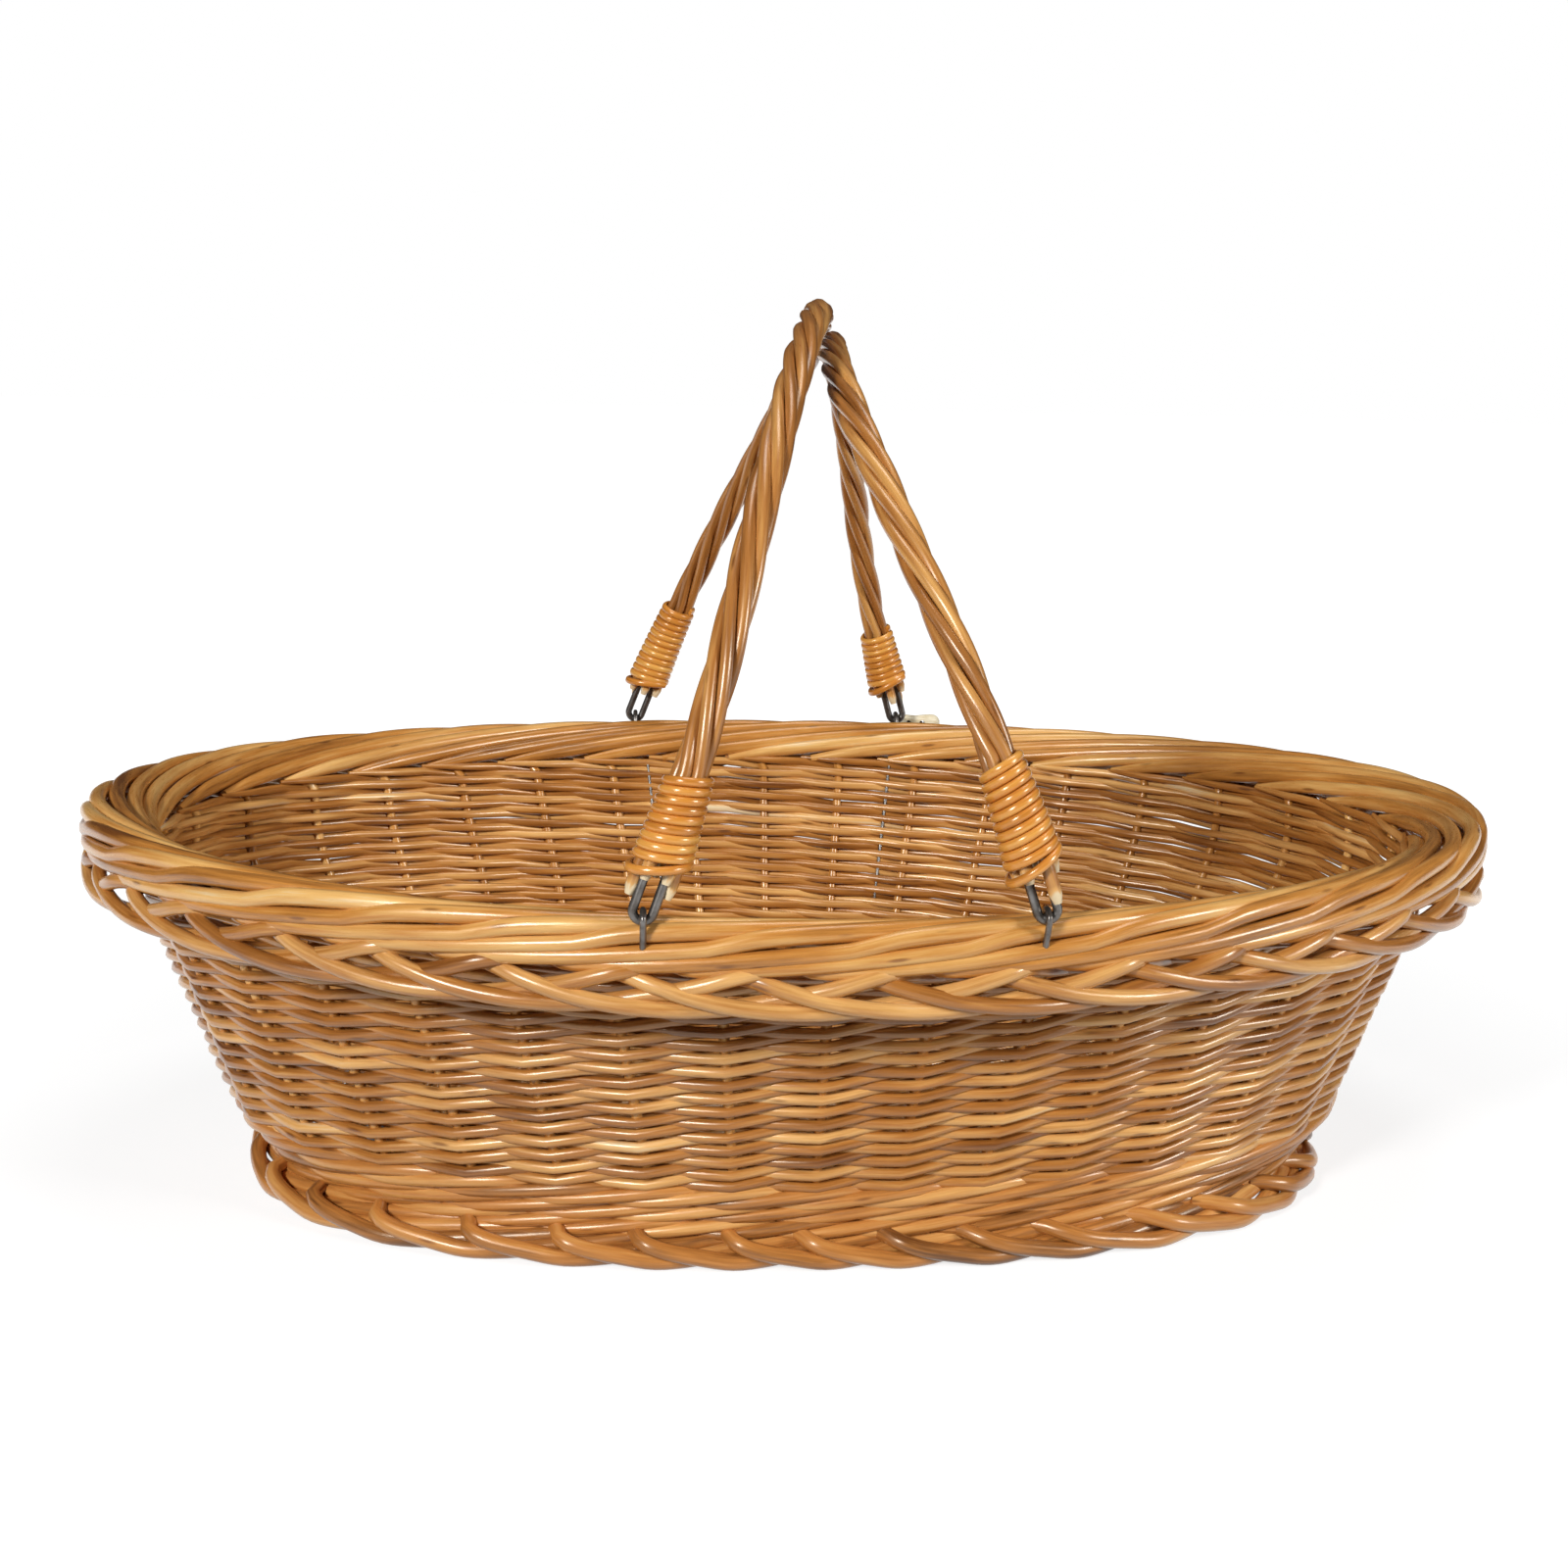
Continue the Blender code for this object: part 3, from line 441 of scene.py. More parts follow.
def mesh_piece(name, bm, finish, sharp=40.0):
    mesh = bpy.data.meshes.new(name)
    bm.to_mesh(mesh)
    bm.free()
    mesh.shade_smooth()
    mesh.set_sharp_from_angle(angle=math.radians(sharp))
    mesh.materials.append(finish)
    made = bpy.data.objects.new(name, mesh)
    bpy.context.scene.collection.objects.link(made)
    return made


def skin_rings(bm, rings):
    """One closed skin over rings of points, with a face at either end."""
    sides = len(rings[0])
    for first, second in zip(rings, rings[1:]):
        for j in range(sides):
            k = (j + 1) % sides
            bm.faces.new((first[j], first[k], second[k], second[j]))
    bm.faces.new(list(reversed(rings[0])))
    bm.faces.new(rings[-1])
    bmesh.ops.recalc_face_normals(bm, faces=bm.faces)


# Finishes

def with_alpha(colour, red=1.0, green=1.0, blue=1.0):
    """A colour property as a shader colour, darkened by a share for each channel."""
    return (colour[0] * red, colour[1] * green, colour[2] * blue, 1.0)


def new_finish(name):
    made = bpy.data.materials.new(name)
    made.use_nodes = True
    tree = made.node_tree
    return made, tree, tree.nodes["Principled BSDF"]


def ramp_colour(tree, value, stops, x, y):
    ramp = add_node(tree, "ShaderNodeValToRGB", x, y)
    elements = ramp.color_ramp.elements
    while len(elements) < len(stops):
        elements.new(0.5)
    for element, (position, colour) in zip(elements, stops):
        element.position = position
        element.color = colour
    tree.links.new(value, ramp.inputs["Fac"])
    return ramp.outputs["Color"]


def add_bump(tree, shader, height, strength, distance, x, y):
    bump = add_node(tree, "ShaderNodeBump", x, y)
    bump.inputs["Strength"].default_value = strength
    bump.inputs["Distance"].default_value = distance
    tree.links.new(height, bump.inputs["Height"])
    tree.links.new(bump.outputs["Normal"], shader.inputs["Normal"])


def stretched_noise(tree, source, scale, detail, roughness, x, y):
    mapping = add_node(tree, "ShaderNodeMapping", x, y)
    mapping.inputs["Scale"].default_value = scale
    noise = add_node(tree, "ShaderNodeTexNoise", x + 180, y)
    noise.inputs["Scale"].default_value = 1.0
    noise.inputs["Detail"].default_value = detail
    noise.inputs["Roughness"].default_value = roughness
    tree.links.new(source, mapping.inputs["Vector"])
    tree.links.new(mapping.outputs["Vector"], noise.inputs["Vector"])
    return noise.outputs["Fac"]


def scaled(tree, value, low, high, to_low, to_high, x, y):
    node = add_node(tree, "ShaderNodeMapRange", x, y)
    node.inputs["From Min"].default_value = low
    node.inputs["From Max"].default_value = high
    node.inputs["To Min"].default_value = to_low
    node.inputs["To Max"].default_value = to_high
    tree.links.new(value, node.inputs["Value"])
    return node.outputs["Result"]


def worked_out(tree, first, second, x, y, operation="ADD"):
    node = add_node(tree, "ShaderNodeMath", x, y, operation=operation)
    tree.links.new(first, node.inputs[0])
    tree.links.new(second, node.inputs[1])
    return node.outputs[0]


def willow_finish(name, colours, roughness, coat):
    """Varnished peeled willow: grain and shade run along each rod, with small dark bud scars."""
    deep, middle, bright, pale = (with_alpha(c) for c in colours)
    made, tree, shader = new_finish(name)
    link = tree.links.new
    place = add_node(tree, "ShaderNodeAttribute", -1500, 0, attribute_name="rod_place").outputs["Vector"]
    tone = add_node(tree, "ShaderNodeAttribute", -1500, -300, attribute_name="rod_tone")
    grain = stretched_noise(tree, place, (45.0, 950.0, 950.0), 4.0, 0.6, -1300, 300)
    patch = stretched_noise(tree, place, (17.0, 160.0, 160.0), 3.0, 0.55, -1300, 0)
    fine = stretched_noise(tree, place, (160.0, 2600.0, 2600.0), 3.0, 0.6, -1300, -550)
    grain_part = scaled(tree, grain, 0.25, 0.75, -0.16, 0.16, -900, 300)
    patch_part = scaled(tree, patch, 0.25, 0.75, -0.24, 0.24, -900, 0)
    total = worked_out(tree, grain_part, patch_part, -700, 200)
    total = worked_out(tree, total, tone.outputs["Fac"], -550, 100)
    skin = ramp_colour(tree, total, ((0.08, deep), (0.45, middle), (0.82, bright), (1.0, pale)), -400, 100)
    scar_map = add_node(tree, "ShaderNodeMapping", -1300, -850)
    scar_map.inputs["Scale"].default_value = (38.0, 210.0, 210.0)
    scar = add_node(tree, "ShaderNodeTexVoronoi", -1100, -850)
    scar.inputs["Scale"].default_value = 1.0
    scar.inputs["Randomness"].default_value = 1.0
    link(place, scar_map.inputs["Vector"])
    link(scar_map.outputs["Vector"], scar.inputs["Vector"])
    scar_part = scaled(tree, scar.outputs["Distance"], 0.07, 0.16, 0.75, 0.0, -900, -850)
    darker = add_node(tree, "ShaderNodeMix", -100, 100, data_type="RGBA", blend_type="MULTIPLY")
    link(scar_part, darker.inputs["Factor"])
    link(skin, darker.inputs["A"])
    darker.inputs["B"].default_value = (0.30, 0.20, 0.14, 1.0)
    link(darker.outputs["Result"], shader.inputs["Base Color"])
    rough = scaled(tree, fine, 0.2, 0.8, roughness - 0.07, roughness + 0.10, -400, -300)
    link(rough, shader.inputs["Roughness"])
    add_bump(tree, shader, worked_out(tree, grain, fine, -600, -600), 0.35, 0.00018, -200, -500)
    shader.inputs["Coat Weight"].default_value = coat
    shader.inputs["Coat Roughness"].default_value = 0.24
    shader.inputs["Specular Tint"].default_value = (1.0, 0.80, 0.55, 1.0)
    shader.inputs["Specular IOR Level"].default_value = 0.60
    return made


def steel_finish(name, colour):
    """Dull steel wire, blotched and lightly scratched."""
    made, tree, shader = new_finish(name)
    spot = add_node(tree, "ShaderNodeTexCoord", -1100, 0).outputs["Object"]
    blotch = stretched_noise(tree, spot, (260.0, 260.0, 260.0), 4.0, 0.6, -900, 0)
    stops = ((0.30, with_alpha(colour, 0.45, 0.40, 0.36)), (0.65, with_alpha(colour)))
    tree.links.new(ramp_colour(tree, blotch, stops, -400, 0), shader.inputs["Base Color"])
    rough = scaled(tree, blotch, 0.2, 0.8, 0.46, 0.26, -400, -250)
    tree.links.new(rough, shader.inputs["Roughness"])
    scratch = stretched_noise(tree, spot, (1800.0, 1800.0, 1800.0), 3.0, 0.6, -900, -450)
    add_bump(tree, shader, scratch, 0.25, 0.0001, -200, -450)
    shader.inputs["Metallic"].default_value = 0.85
    return made


def wood_finish(name, colour):
    """Pale turned wood with fine grain along the peg."""
    made, tree, shader = new_finish(name)
    spot = add_node(tree, "ShaderNodeTexCoord", -1100, 0).outputs["Object"]
    grain = stretched_noise(tree, spot, (160.0, 1500.0, 1500.0), 4.0, 0.6, -900, 0)
    stops = ((0.30, with_alpha(colour, 0.72, 0.64, 0.50)), (0.62, with_alpha(colour)))
    tree.links.new(ramp_colour(tree, grain, stops, -400, 0), shader.inputs["Base Color"])
    rough = scaled(tree, grain, 0.2, 0.8, 0.62, 0.45, -400, -250)
    tree.links.new(rough, shader.inputs["Roughness"])
    add_bump(tree, shader, grain, 0.3, 0.0001, -200, -400)
    return made


def twine_finish(name, colour):
    """A tight dark cord, with its twist drawn by a slanting wave along it; the colour is darker in the
    wave's low grooves, a painted shade.
    """
    made, tree, shader = new_finish(name)
    place = add_node(tree, "ShaderNodeAttribute", -1100, 0, attribute_name="rod_place")
    wave = add_node(tree, "ShaderNodeTexWave", -800, 0)
    wave.inputs["Scale"].default_value = 260.0
    wave.inputs["Distortion"].default_value = 0.8
    tree.links.new(place.outputs["Vector"], wave.inputs["Vector"])
    twist = wave.outputs["Fac"]
    # Painted shade: the colour drops to four tenths where the wave is low, in the grooves that the bump
    # sinks.
    stops = ((0.2, with_alpha(colour, 0.4, 0.4, 0.4)), (0.8, with_alpha(colour)))
    tree.links.new(ramp_colour(tree, twist, stops, -500, 0), shader.inputs["Base Color"])
    add_bump(tree, shader, twist, 0.5, 0.0002, -200, -300)
    shader.inputs["Roughness"].default_value = 0.8
    return made


# Group of colours, roughness and coat of each willow finish
WILLOW_FINISHES = {
    "side willow finish": ("side", 0.30, 0.60),
    "base willow finish": ("base", 0.33, 0.45),
    "rim willow finish": ("rim", 0.29, 0.60),
    "handle willow finish": ("handle", 0.30, 0.60),
    "handle skein finish": ("skein", 0.24, 0.65),
}


def finish_named(name):
    """One of the basket's finishes, made when it is first asked for."""
    if name in bpy.data.materials:
        return bpy.data.materials[name]
    tints = bpy.context.scene.basket_colours
    if name in WILLOW_FINISHES:
        part, roughness, coat = WILLOW_FINISHES[name]
        colours = [getattr(tints, f"{part}_{shade}") for shade in ("deep", "middle", "bright")]
        return willow_finish(name, colours + [tints.cut_end], roughness, coat)
    if name == "dark steel finish":
        return steel_finish(name, tints.steel)
    if name == "pale wood finish":
        return wood_finish(name, tints.pale_wood)
    if name == "dark cord finish":
        return twine_finish(name, tints.cord)
    raise RuntimeError("no finish is called " + name)


# Side weave, wale, foot border and bottom

def zigzag(place):
    """1 at even places and -1 at odd ones, straight between them."""
    return 1.0 - 2.0 * abs(((place + 1.0) % 2.0) - 1.0)


def stroke_lift(run, climb):
    """Height of a weaver in rows: steep away from the bend before a stake, nearly level behind the next."""
    knots = [(0.0, 0.0), (0.5, 0.74 * climb), (1.0, climb), (1.5, 0.60 * climb + 0.48), (2.0, 1.0)]
    phase = run % 2.0
    spot = min(int(2.0 * phase), 3)
    low = knots[spot]
    high = knots[spot + 1]
    return (run - phase) / 2.0 + low[1] + (high[1] - low[1]) * (phase - low[0]) / 0.5


def side_weaver(number, sizes, chance):
    """One weaver of the side: in front of a stake, behind the next, rising all the way round."""
    low = WALL_BOTTOM + 0.2 * sizes.weaver_bottom
    span = 2.0 * (WALL_TOP - low - 0.25 * sizes.row_pitch) / sizes.row_pitch - WEAVER_START
    steps = sizes.points_per_stake
    count = int(span * steps)
    swing = 0.5 * WALL_THICKNESS - 0.5 * sizes.weaver_bottom
    points = []
    radii = []
    tones = []
    base_tone = chance.gauss(0.5, 0.10)
    wander = [chance.gauss(0.0, 1.0) for _ in range(count // steps + 3)]
    shade = [chance.gauss(0.0, 1.0) for _ in range(count // steps + 3)]
    for i in range(count + 1):
        run = WEAVER_START + i / steps
        stretch = int(i / steps)
        share = i / steps - stretch
        sharp = zigzag(run)
        soft = math.cos(math.pi * run)
        outset = swing * (0.6 * sharp + 0.4 * soft)
        lift = stroke_lift(run, sizes.weaver_climb) if run > 0.0 else 0.5 * min(run + 1.0, 0.0)
        jitter = wander[stretch] * (1.0 - share) + wander[stretch + 1] * share
        height = low + sizes.row_pitch * lift + WEAVER_HEIGHT_JITTER * jitter
        points.append(wall_place(number + run, height, outset + WEAVER_OUTSET_JITTER * jitter))
        thin = sizes.weaver_bottom + (sizes.weaver_top - sizes.weaver_bottom) * i / count
        radii.append(0.5 * thin * (1.0 + 0.03 * jitter))
        tones.append(base_tone + 0.045 * (shade[stretch] * (1.0 - share) + shade[stretch + 1] * share))
    taper_ends(radii, 0.8, 0.5, 6)
    return new_rod(points, radii, base_tone, tones=tones)


def wale_rod(number, sizes, chance):
    """A heavier weaver at the foot of the wall: in front of two stakes, behind the third."""
    radius = 0.5 * sizes.wale_thickness
    steps = 6
    count = WALE_LAPS * STAKE_COUNT * steps
    low = WALE_BOTTOM - 0.0008
    high = WALL_BOTTOM - radius + 0.0006
    front = 0.5 * WALL_THICKNESS + WALE_SWELL - radius
    knots = [
        (0.0, 0.10, -0.85),
        (0.30, 0.70, -0.95),
        (0.60, 1.0, -0.62),
        (1.0, 1.04, -0.05),
        (1.60, 0.80, 0.75),
        (2.0, 0.10, 0.95),
        (2.5, -1.0, 0.15),
        (3.0, 0.10, -0.85),
    ]
    table = smooth_through(knots, 24)
    points = []
    radii = []
    tone = chance.gauss(0.45, 0.08)
    for i in range(count + 1):
        run = i / steps
        phase = run % 3.0
        spot = min(int(phase / 3.0 * (len(table) - 1)), len(table) - 2)
        first = table[spot]
        second = table[spot + 1]
        share = (phase - first[0]) / (second[0] - first[0])
        out = first[1] + share * (second[1] - first[1])
        lift = first[2] + share * (second[2] - first[2])
        height = low + (high - low) * run / (WALE_LAPS * STAKE_COUNT) + WALE_WAVE * lift
        height = min(max(height, low - WALE_OVERLAP), high + WALE_OVERLAP)
        flare = WALE_FLARE * max(0.0, 1.0 - (height - low) / WALE_FLARE_HEIGHT)
        points.append(wall_place(number + run + 0.5, height, front * out + flare))
        radii.append(radius * (1.0 + 0.04 * math.sin(0.9 * run + number)))
    return new_rod(points, taper_ends(radii, 0.5, 0.5, 8), tone)


def foot_stroke(number, sizes, chance):
    """One stroke of the scalloped foot border, tucked under the next at its far end."""
    radius = 0.5 * sizes.foot_thickness
    outer = FOOT_HALF_BREADTH - radius
    top = FOOT_HEIGHT - radius
    knots = [
        (-0.20, -0.0056, top + 0.0040),
        (-0.09, -0.0020, top + 0.0040),
        (0.02, outer - 0.0016, top + 0.0032),
        (0.14, outer - 0.0002, top + 0.0020),
        (0.34, outer + 0.0002, top + 0.0004),
        (0.70, outer, 0.5 * (top + radius) + 0.0002),
        (1.10, outer - 0.0004, radius + 0.0002),
        (1.50, outer - 0.0030, radius + 0.0004),
        (1.90, -0.0010, radius + 0.0020),
        (2.40, -0.0032, top + 0.0002),
        (3.00, -0.0048, top + 0.0022),
        (3.60, -0.0066, top + 0.0032),
        (4.15, -0.0104, top + 0.0014),
    ]
    points = []
    radii = []
    nudge = chance.gauss(0.0, 0.05)
    for place, out, height in smooth_through(knots, 10):
        points.append(foot_place(number + nudge + place, out, height))
        radii.append(radius)
    return new_rod(points, taper_ends(radii, 0.9, 0.6, 3), chance.gauss(0.42, 0.09))


def bottom_ring(number, sizes, chance):
    """One round of the woven bottom, over and under the sticks."""
    radius = 0.5 * sizes.bottom_thickness
    inset = radius + number * sizes.bottom_pitch - BASE_EDGE_ROUNDS * sizes.bottom_pitch
    half_length = BASE_HALF_LENGTH - inset
    half_width = BASE_HALF_WIDTH - inset
    power = 2.0 + 0.5 * half_width / BASE_HALF_WIDTH
    swing = BASE_HALF_THICKNESS - radius + 0.0002
    count = max(48, int(700.0 * (half_length + half_width)))
    corner = CROSS_STICK_PITCH * (CROSS_STICK_COUNT - 1) / 2.0
    points = []
    for i in range(count):
        angle = 2.0 * math.pi * i / count
        flat = oval_point(half_length, half_width, power, angle, 0.0)
        if abs(flat.x) < corner:
            phase = flat.x / CROSS_STICK_PITCH
            wave = math.cos(math.pi * phase)
        else:
            turn = 0.5 * math.pi * (abs(flat.x) - corner) / max(half_length - corner, 0.001)
            wave = -math.cos(4.0 * turn)
        sign = 1.0 if number % 2 else -1.0
        points.append(Vector((flat.x, flat.y, BASE_MIDDLE + sign * swing * wave)))
    radii = [radius] * count
    return new_rod(points, radii, chance.gauss(0.48, 0.1), closed=True)


def stick_rods():
    """The cross sticks and the long sticks that run through them."""
    rods = []
    for i in range(CROSS_STICK_COUNT):
        x = CROSS_STICK_PITCH * (i - 0.5 * (CROSS_STICK_COUNT - 1))
        half = BASE_HALF_WIDTH * (1.0 - (abs(x) / BASE_HALF_LENGTH) ** 2.5) ** 0.4 + STICK_OVERHANG
        ends = [Vector((x, half * (j / 6.0 - 1.0), BASE_MIDDLE)) for j in range(13)]
        rods.append(new_rod(ends, [CROSS_STICK_RADIUS] * len(ends), 0.5))
    for i in range(LONG_STICK_COUNT):
        y = LONG_STICK_PITCH * (i - 0.5 * (LONG_STICK_COUNT - 1))
        half = BASE_HALF_LENGTH + STICK_OVERHANG
        ends = [Vector((half * (j / 10.0 - 1.0), y, BASE_MIDDLE)) for j in range(21)]
        rods.append(new_rod(ends, [LONG_STICK_RADIUS] * len(ends), 0.5))
    return rods


# Rolled border and the braid under it

def border_rod(number, sizes, chance):
    """A stake that comes up the wall, bends out and is laid in the rolled border like a rope's strand."""
    radius = 0.5 * sizes.rim_thickness
    out = RIM_HALF_BREADTH - radius
    up = RIM_HALF_THICKNESS - radius
    points = []
    radii = []
    for i in range(10):
        height = WALE_BOTTOM + 0.001 + (WALL_TOP - STAKE_TOP_DROP - WALE_BOTTOM) * i / 9.0
        points.append(wall_place(number, height, 0.0))
        radii.append(STAKE_RADIUS)
    top = wall_place(number, WALL_TOP, 0.0)
    flat_start = roll_place(number, 0.0, 0.0)
    reach = (Vector((flat_start.x, flat_start.y, 0.0)) - Vector((top.x, top.y, 0.0))).length
    drop = flat_start.z - top.z
    nudge = chance.gauss(0.0, 0.05)
    knots = [
        (0.04, -reach + 0.0008, -drop - 0.0026),
        (0.16, -reach + 0.0050, -drop - 0.0014),
        (0.50, -0.30 * out, -0.60 * up),
        (0.85, 0.55 * out, -1.08 * up),
        (1.20, 0.82 * out, -1.00 * up),
        (2.00, 0.98 * out, -0.62 * up),
        (2.50, 1.01 * out, -0.28 * up),
        (2.96, 1.02 * out, 0.02 * up),
        (3.06, 1.02 * out, 0.10 * up),
        (3.22, 1.01 * out, 0.36 * up),
        (3.42, 0.97 * out, 0.66 * up),
        (3.70, 0.90 * out, 0.86 * up),
        (4.10, 0.78 * out, 1.00 * up),
        (4.50, 0.56 * out, 1.03 * up),
        (4.95, 0.16 * out, 0.96 * up),
        (5.50, -0.30 * out, 0.84 * up),
        (6.10, -0.74 * out, 0.62 * up),
        (6.70, -1.14 * out, 0.32 * up),
        (7.30, -1.50 * out, -0.04 * up),
        (7.90, -1.76 * out, -0.42 * up),
        (8.40, -1.78 * out, -0.90 * up),
    ]
    for place, outset, lift in smooth_through(knots, 9):
        shift = nudge * min(1.0, max(0.0, place - 0.3))
        points.append(roll_place(number + place + shift, outset, lift))
        grown = min(1.0, place / 0.8)
        fuller = 1.0 + 0.10 * min(1.0, max(0.0, 2.5 * (place - 3.1)))
        radii.append(STAKE_RADIUS + (radius * fuller - STAKE_RADIUS) * grown)
    return new_rod(points, taper_ends(radii, 1.0, 0.55, 6), chance.gauss(0.5, 0.11))


def braid_rod(number, sizes, chance):
    """A rod of the braid: out from the wall, down, along the lower edge, up to a knee and in again."""
    radius = 0.5 * sizes.braid_thickness
    outer = BRAID_OUTSET - radius
    base = BRAID_BOTTOM + radius - RIM_HEIGHT
    nudge = chance.gauss(0.0, 0.04)
    knots = [
        (-0.90, -0.0120, 0.0065),
        (-0.40, -0.0040, 0.0090),
        (-0.05, outer - 0.0036, 0.0098),
        (0.22, outer - 0.0006, 0.0072),
        (0.65, outer, 0.0030),
        (1.15, outer - 0.0006, 0.0006),
        (1.70, outer - 0.0034, 0.0003),
        (2.20, outer - 0.0028, 0.0038),
        (2.60, outer - 0.0004, 0.0076),
        (2.90, outer + 0.0001, 0.0112),
        (3.03, outer - 0.0012, 0.0122),
        (3.18, outer - 0.0052, 0.0112),
        (3.50, -0.0030, 0.0085),
        (3.90, -0.0105, 0.0065),
    ]
    points = []
    radii = []
    for place, out, lift in smooth_through(knots, 10):
        points.append(roll_place(number + 0.35 + nudge + place, out, base + lift))
        radii.append(radius)
    return new_rod(points, taper_ends(radii, 0.7, 0.6, 5), chance.gauss(0.52, 0.11))


# Handles

def twist_radius():
    return (BOW_ROD_RADIUS + 0.5 * BOW_ROD_GAP) / math.sin(math.pi / BOW_RODS)


def bow_places():
    """Hinge point, lean, half span and height of either bow, as the solid model has them."""
    places = {}
    left_span = rim_y(LEFT_HINGE_X) + HINGE_OUTSET
    places["left"] = (LEFT_HINGE_X, LEFT_BOW_LEAN, left_span, LEFT_BOW_HEIGHT)
    crown_x = LEFT_HINGE_X + LEFT_BOW_HEIGHT * math.sin(LEFT_BOW_LEAN)
    crown_z = LEFT_BOW_HEIGHT * math.cos(LEFT_BOW_LEAN)
    apart = 2.0 * (twist_radius() + BOW_ROD_RADIUS) + BOW_CONTACT_GAP
    reach_x = crown_x + apart * math.cos(BOW_CONTACT_ANGLE) - RIGHT_HINGE_X
    reach_z = crown_z + apart * math.sin(BOW_CONTACT_ANGLE)
    right_span = rim_y(RIGHT_HINGE_X) + HINGE_OUTSET
    lean = math.atan2(reach_x, reach_z)
    places["right"] = (RIGHT_HINGE_X, lean, right_span, math.hypot(reach_x, reach_z))
    return places


def bow_frame(share, half_span, height):
    """Centre and square directions of a bow, by share of its turn from front to back."""
    angle = math.pi * share
    step = math.pi / 720.0

    def centre(a):
        sway = -BOW_SWAY * math.sin(2.0 * a) * math.sin(a)
        return Vector((sway, -half_span * math.cos(a), height * math.sin(a)))

    along = (centre(angle + step) - centre(angle - step)).normalized()
    across = (X_WAY - X_WAY.dot(along) * along).normalized()
    return centre(angle), along, across, along.cross(across)


def end_share(lift, height):
    return math.asin(lift / height) / math.pi


def spread_at(lift, length):
    """Half width and half depth of the ring of rods inside a winding, closing evenly upward."""
    tight = twist_radius()
    share = min(max((lift - WINDING_START) / length, 0.0), 1.0)
    wide = SPREAD_HALF_WIDTH + share * (tight - SPREAD_HALF_WIDTH)
    deep = SPREAD_HALF_DEPTH + share * (tight - SPREAD_HALF_DEPTH)
    return wide, deep


def hinge_matrix(hinge_x, lean):
    place = Matrix.Translation(Vector((hinge_x, 0.0, HINGE_HEIGHT)))
    return place @ Matrix.Rotation(lean, 4, "Y")


# Length and turns of each winding, by side and whether it is at the back
WINDINGS = {
    ("left", False): (0.0305, 10),
    ("right", False): (0.0350, 11),
    ("left", True): (0.0420, 13),
    ("right", True): (0.0290, 9),
}

# How far above the hinge each rod of a bow ends, by side and whether it is at the back
ROD_ENDS = {
    ("left", False): (0.0098, 0.0030, 0.0095, 0.0100, 0.0052),
    ("right", False): (0.0100, 0.0095, 0.0098, 0.0020, 0.0098),
    ("left", True): (0.0098, 0.0096, 0.0070, 0.0098, 0.0100),
    ("right", True): (0.0060, 0.0098, 0.0098, 0.0030, 0.0098),
}

# Shade of the last two points of a bow's rod, where the pale cut wood shows
CUT_TONES = (1.15, 0.95)


def bow_rod(side, index, place, sizes, chance):
    """One of the rods of a bow, twisted round the others and spread inside the windings."""
    hinge_x, lean, half_span, height = place
    matrix = hinge_matrix(hinge_x, lean)
    front_length = WINDINGS[(side, False)][0]
    back_length = WINDINGS[(side, True)][0]
    low = end_share(ROD_ENDS[(side, False)][index], height)
    high = 1.0 - end_share(ROD_ENDS[(side, True)][index], height)
    twist_low = end_share(WINDING_START + front_length, height)
    twist_high = 1.0 - end_share(WINDING_START + back_length, height)
    count = sizes.bow_points
    points = []
    radii = []
    tone = chance.gauss(0.5, 0.09)
    tones = []
    for i in range(count + 1):
        share = low + (high - low) * i / count
        centre, _, across, inward = bow_frame(share, half_span, height)
        lift = height * math.sin(math.pi * share)
        wide, deep = spread_at(lift, front_length if share < 0.5 else back_length)
        turn = min(max((share - twist_low) / (twist_high - twist_low), 0.0), 1.0)
        angle = 0.5 * math.pi + 2.0 * math.pi * (index / BOW_RODS - sizes.bow_turns * turn)
        loose = 1.0 + 0.05 * math.sin(9.0 * share + 1.7 * index)
        offset = wide * loose * math.cos(angle) * across + deep * loose * math.sin(angle) * inward
        points.append(matrix @ (centre + offset))
        radii.append(0.5 * sizes.bow_rod_thickness * (1.0 + 0.04 * math.sin(5.0 * share + index)))
        near_end = min(i, count - i)
        tones.append(CUT_TONES[near_end] if near_end < len(CUT_TONES) else tone)
    radii[0] *= 0.62
    radii[-1] *= 0.62
    return new_rod(points, radii, tone, tones=tones)


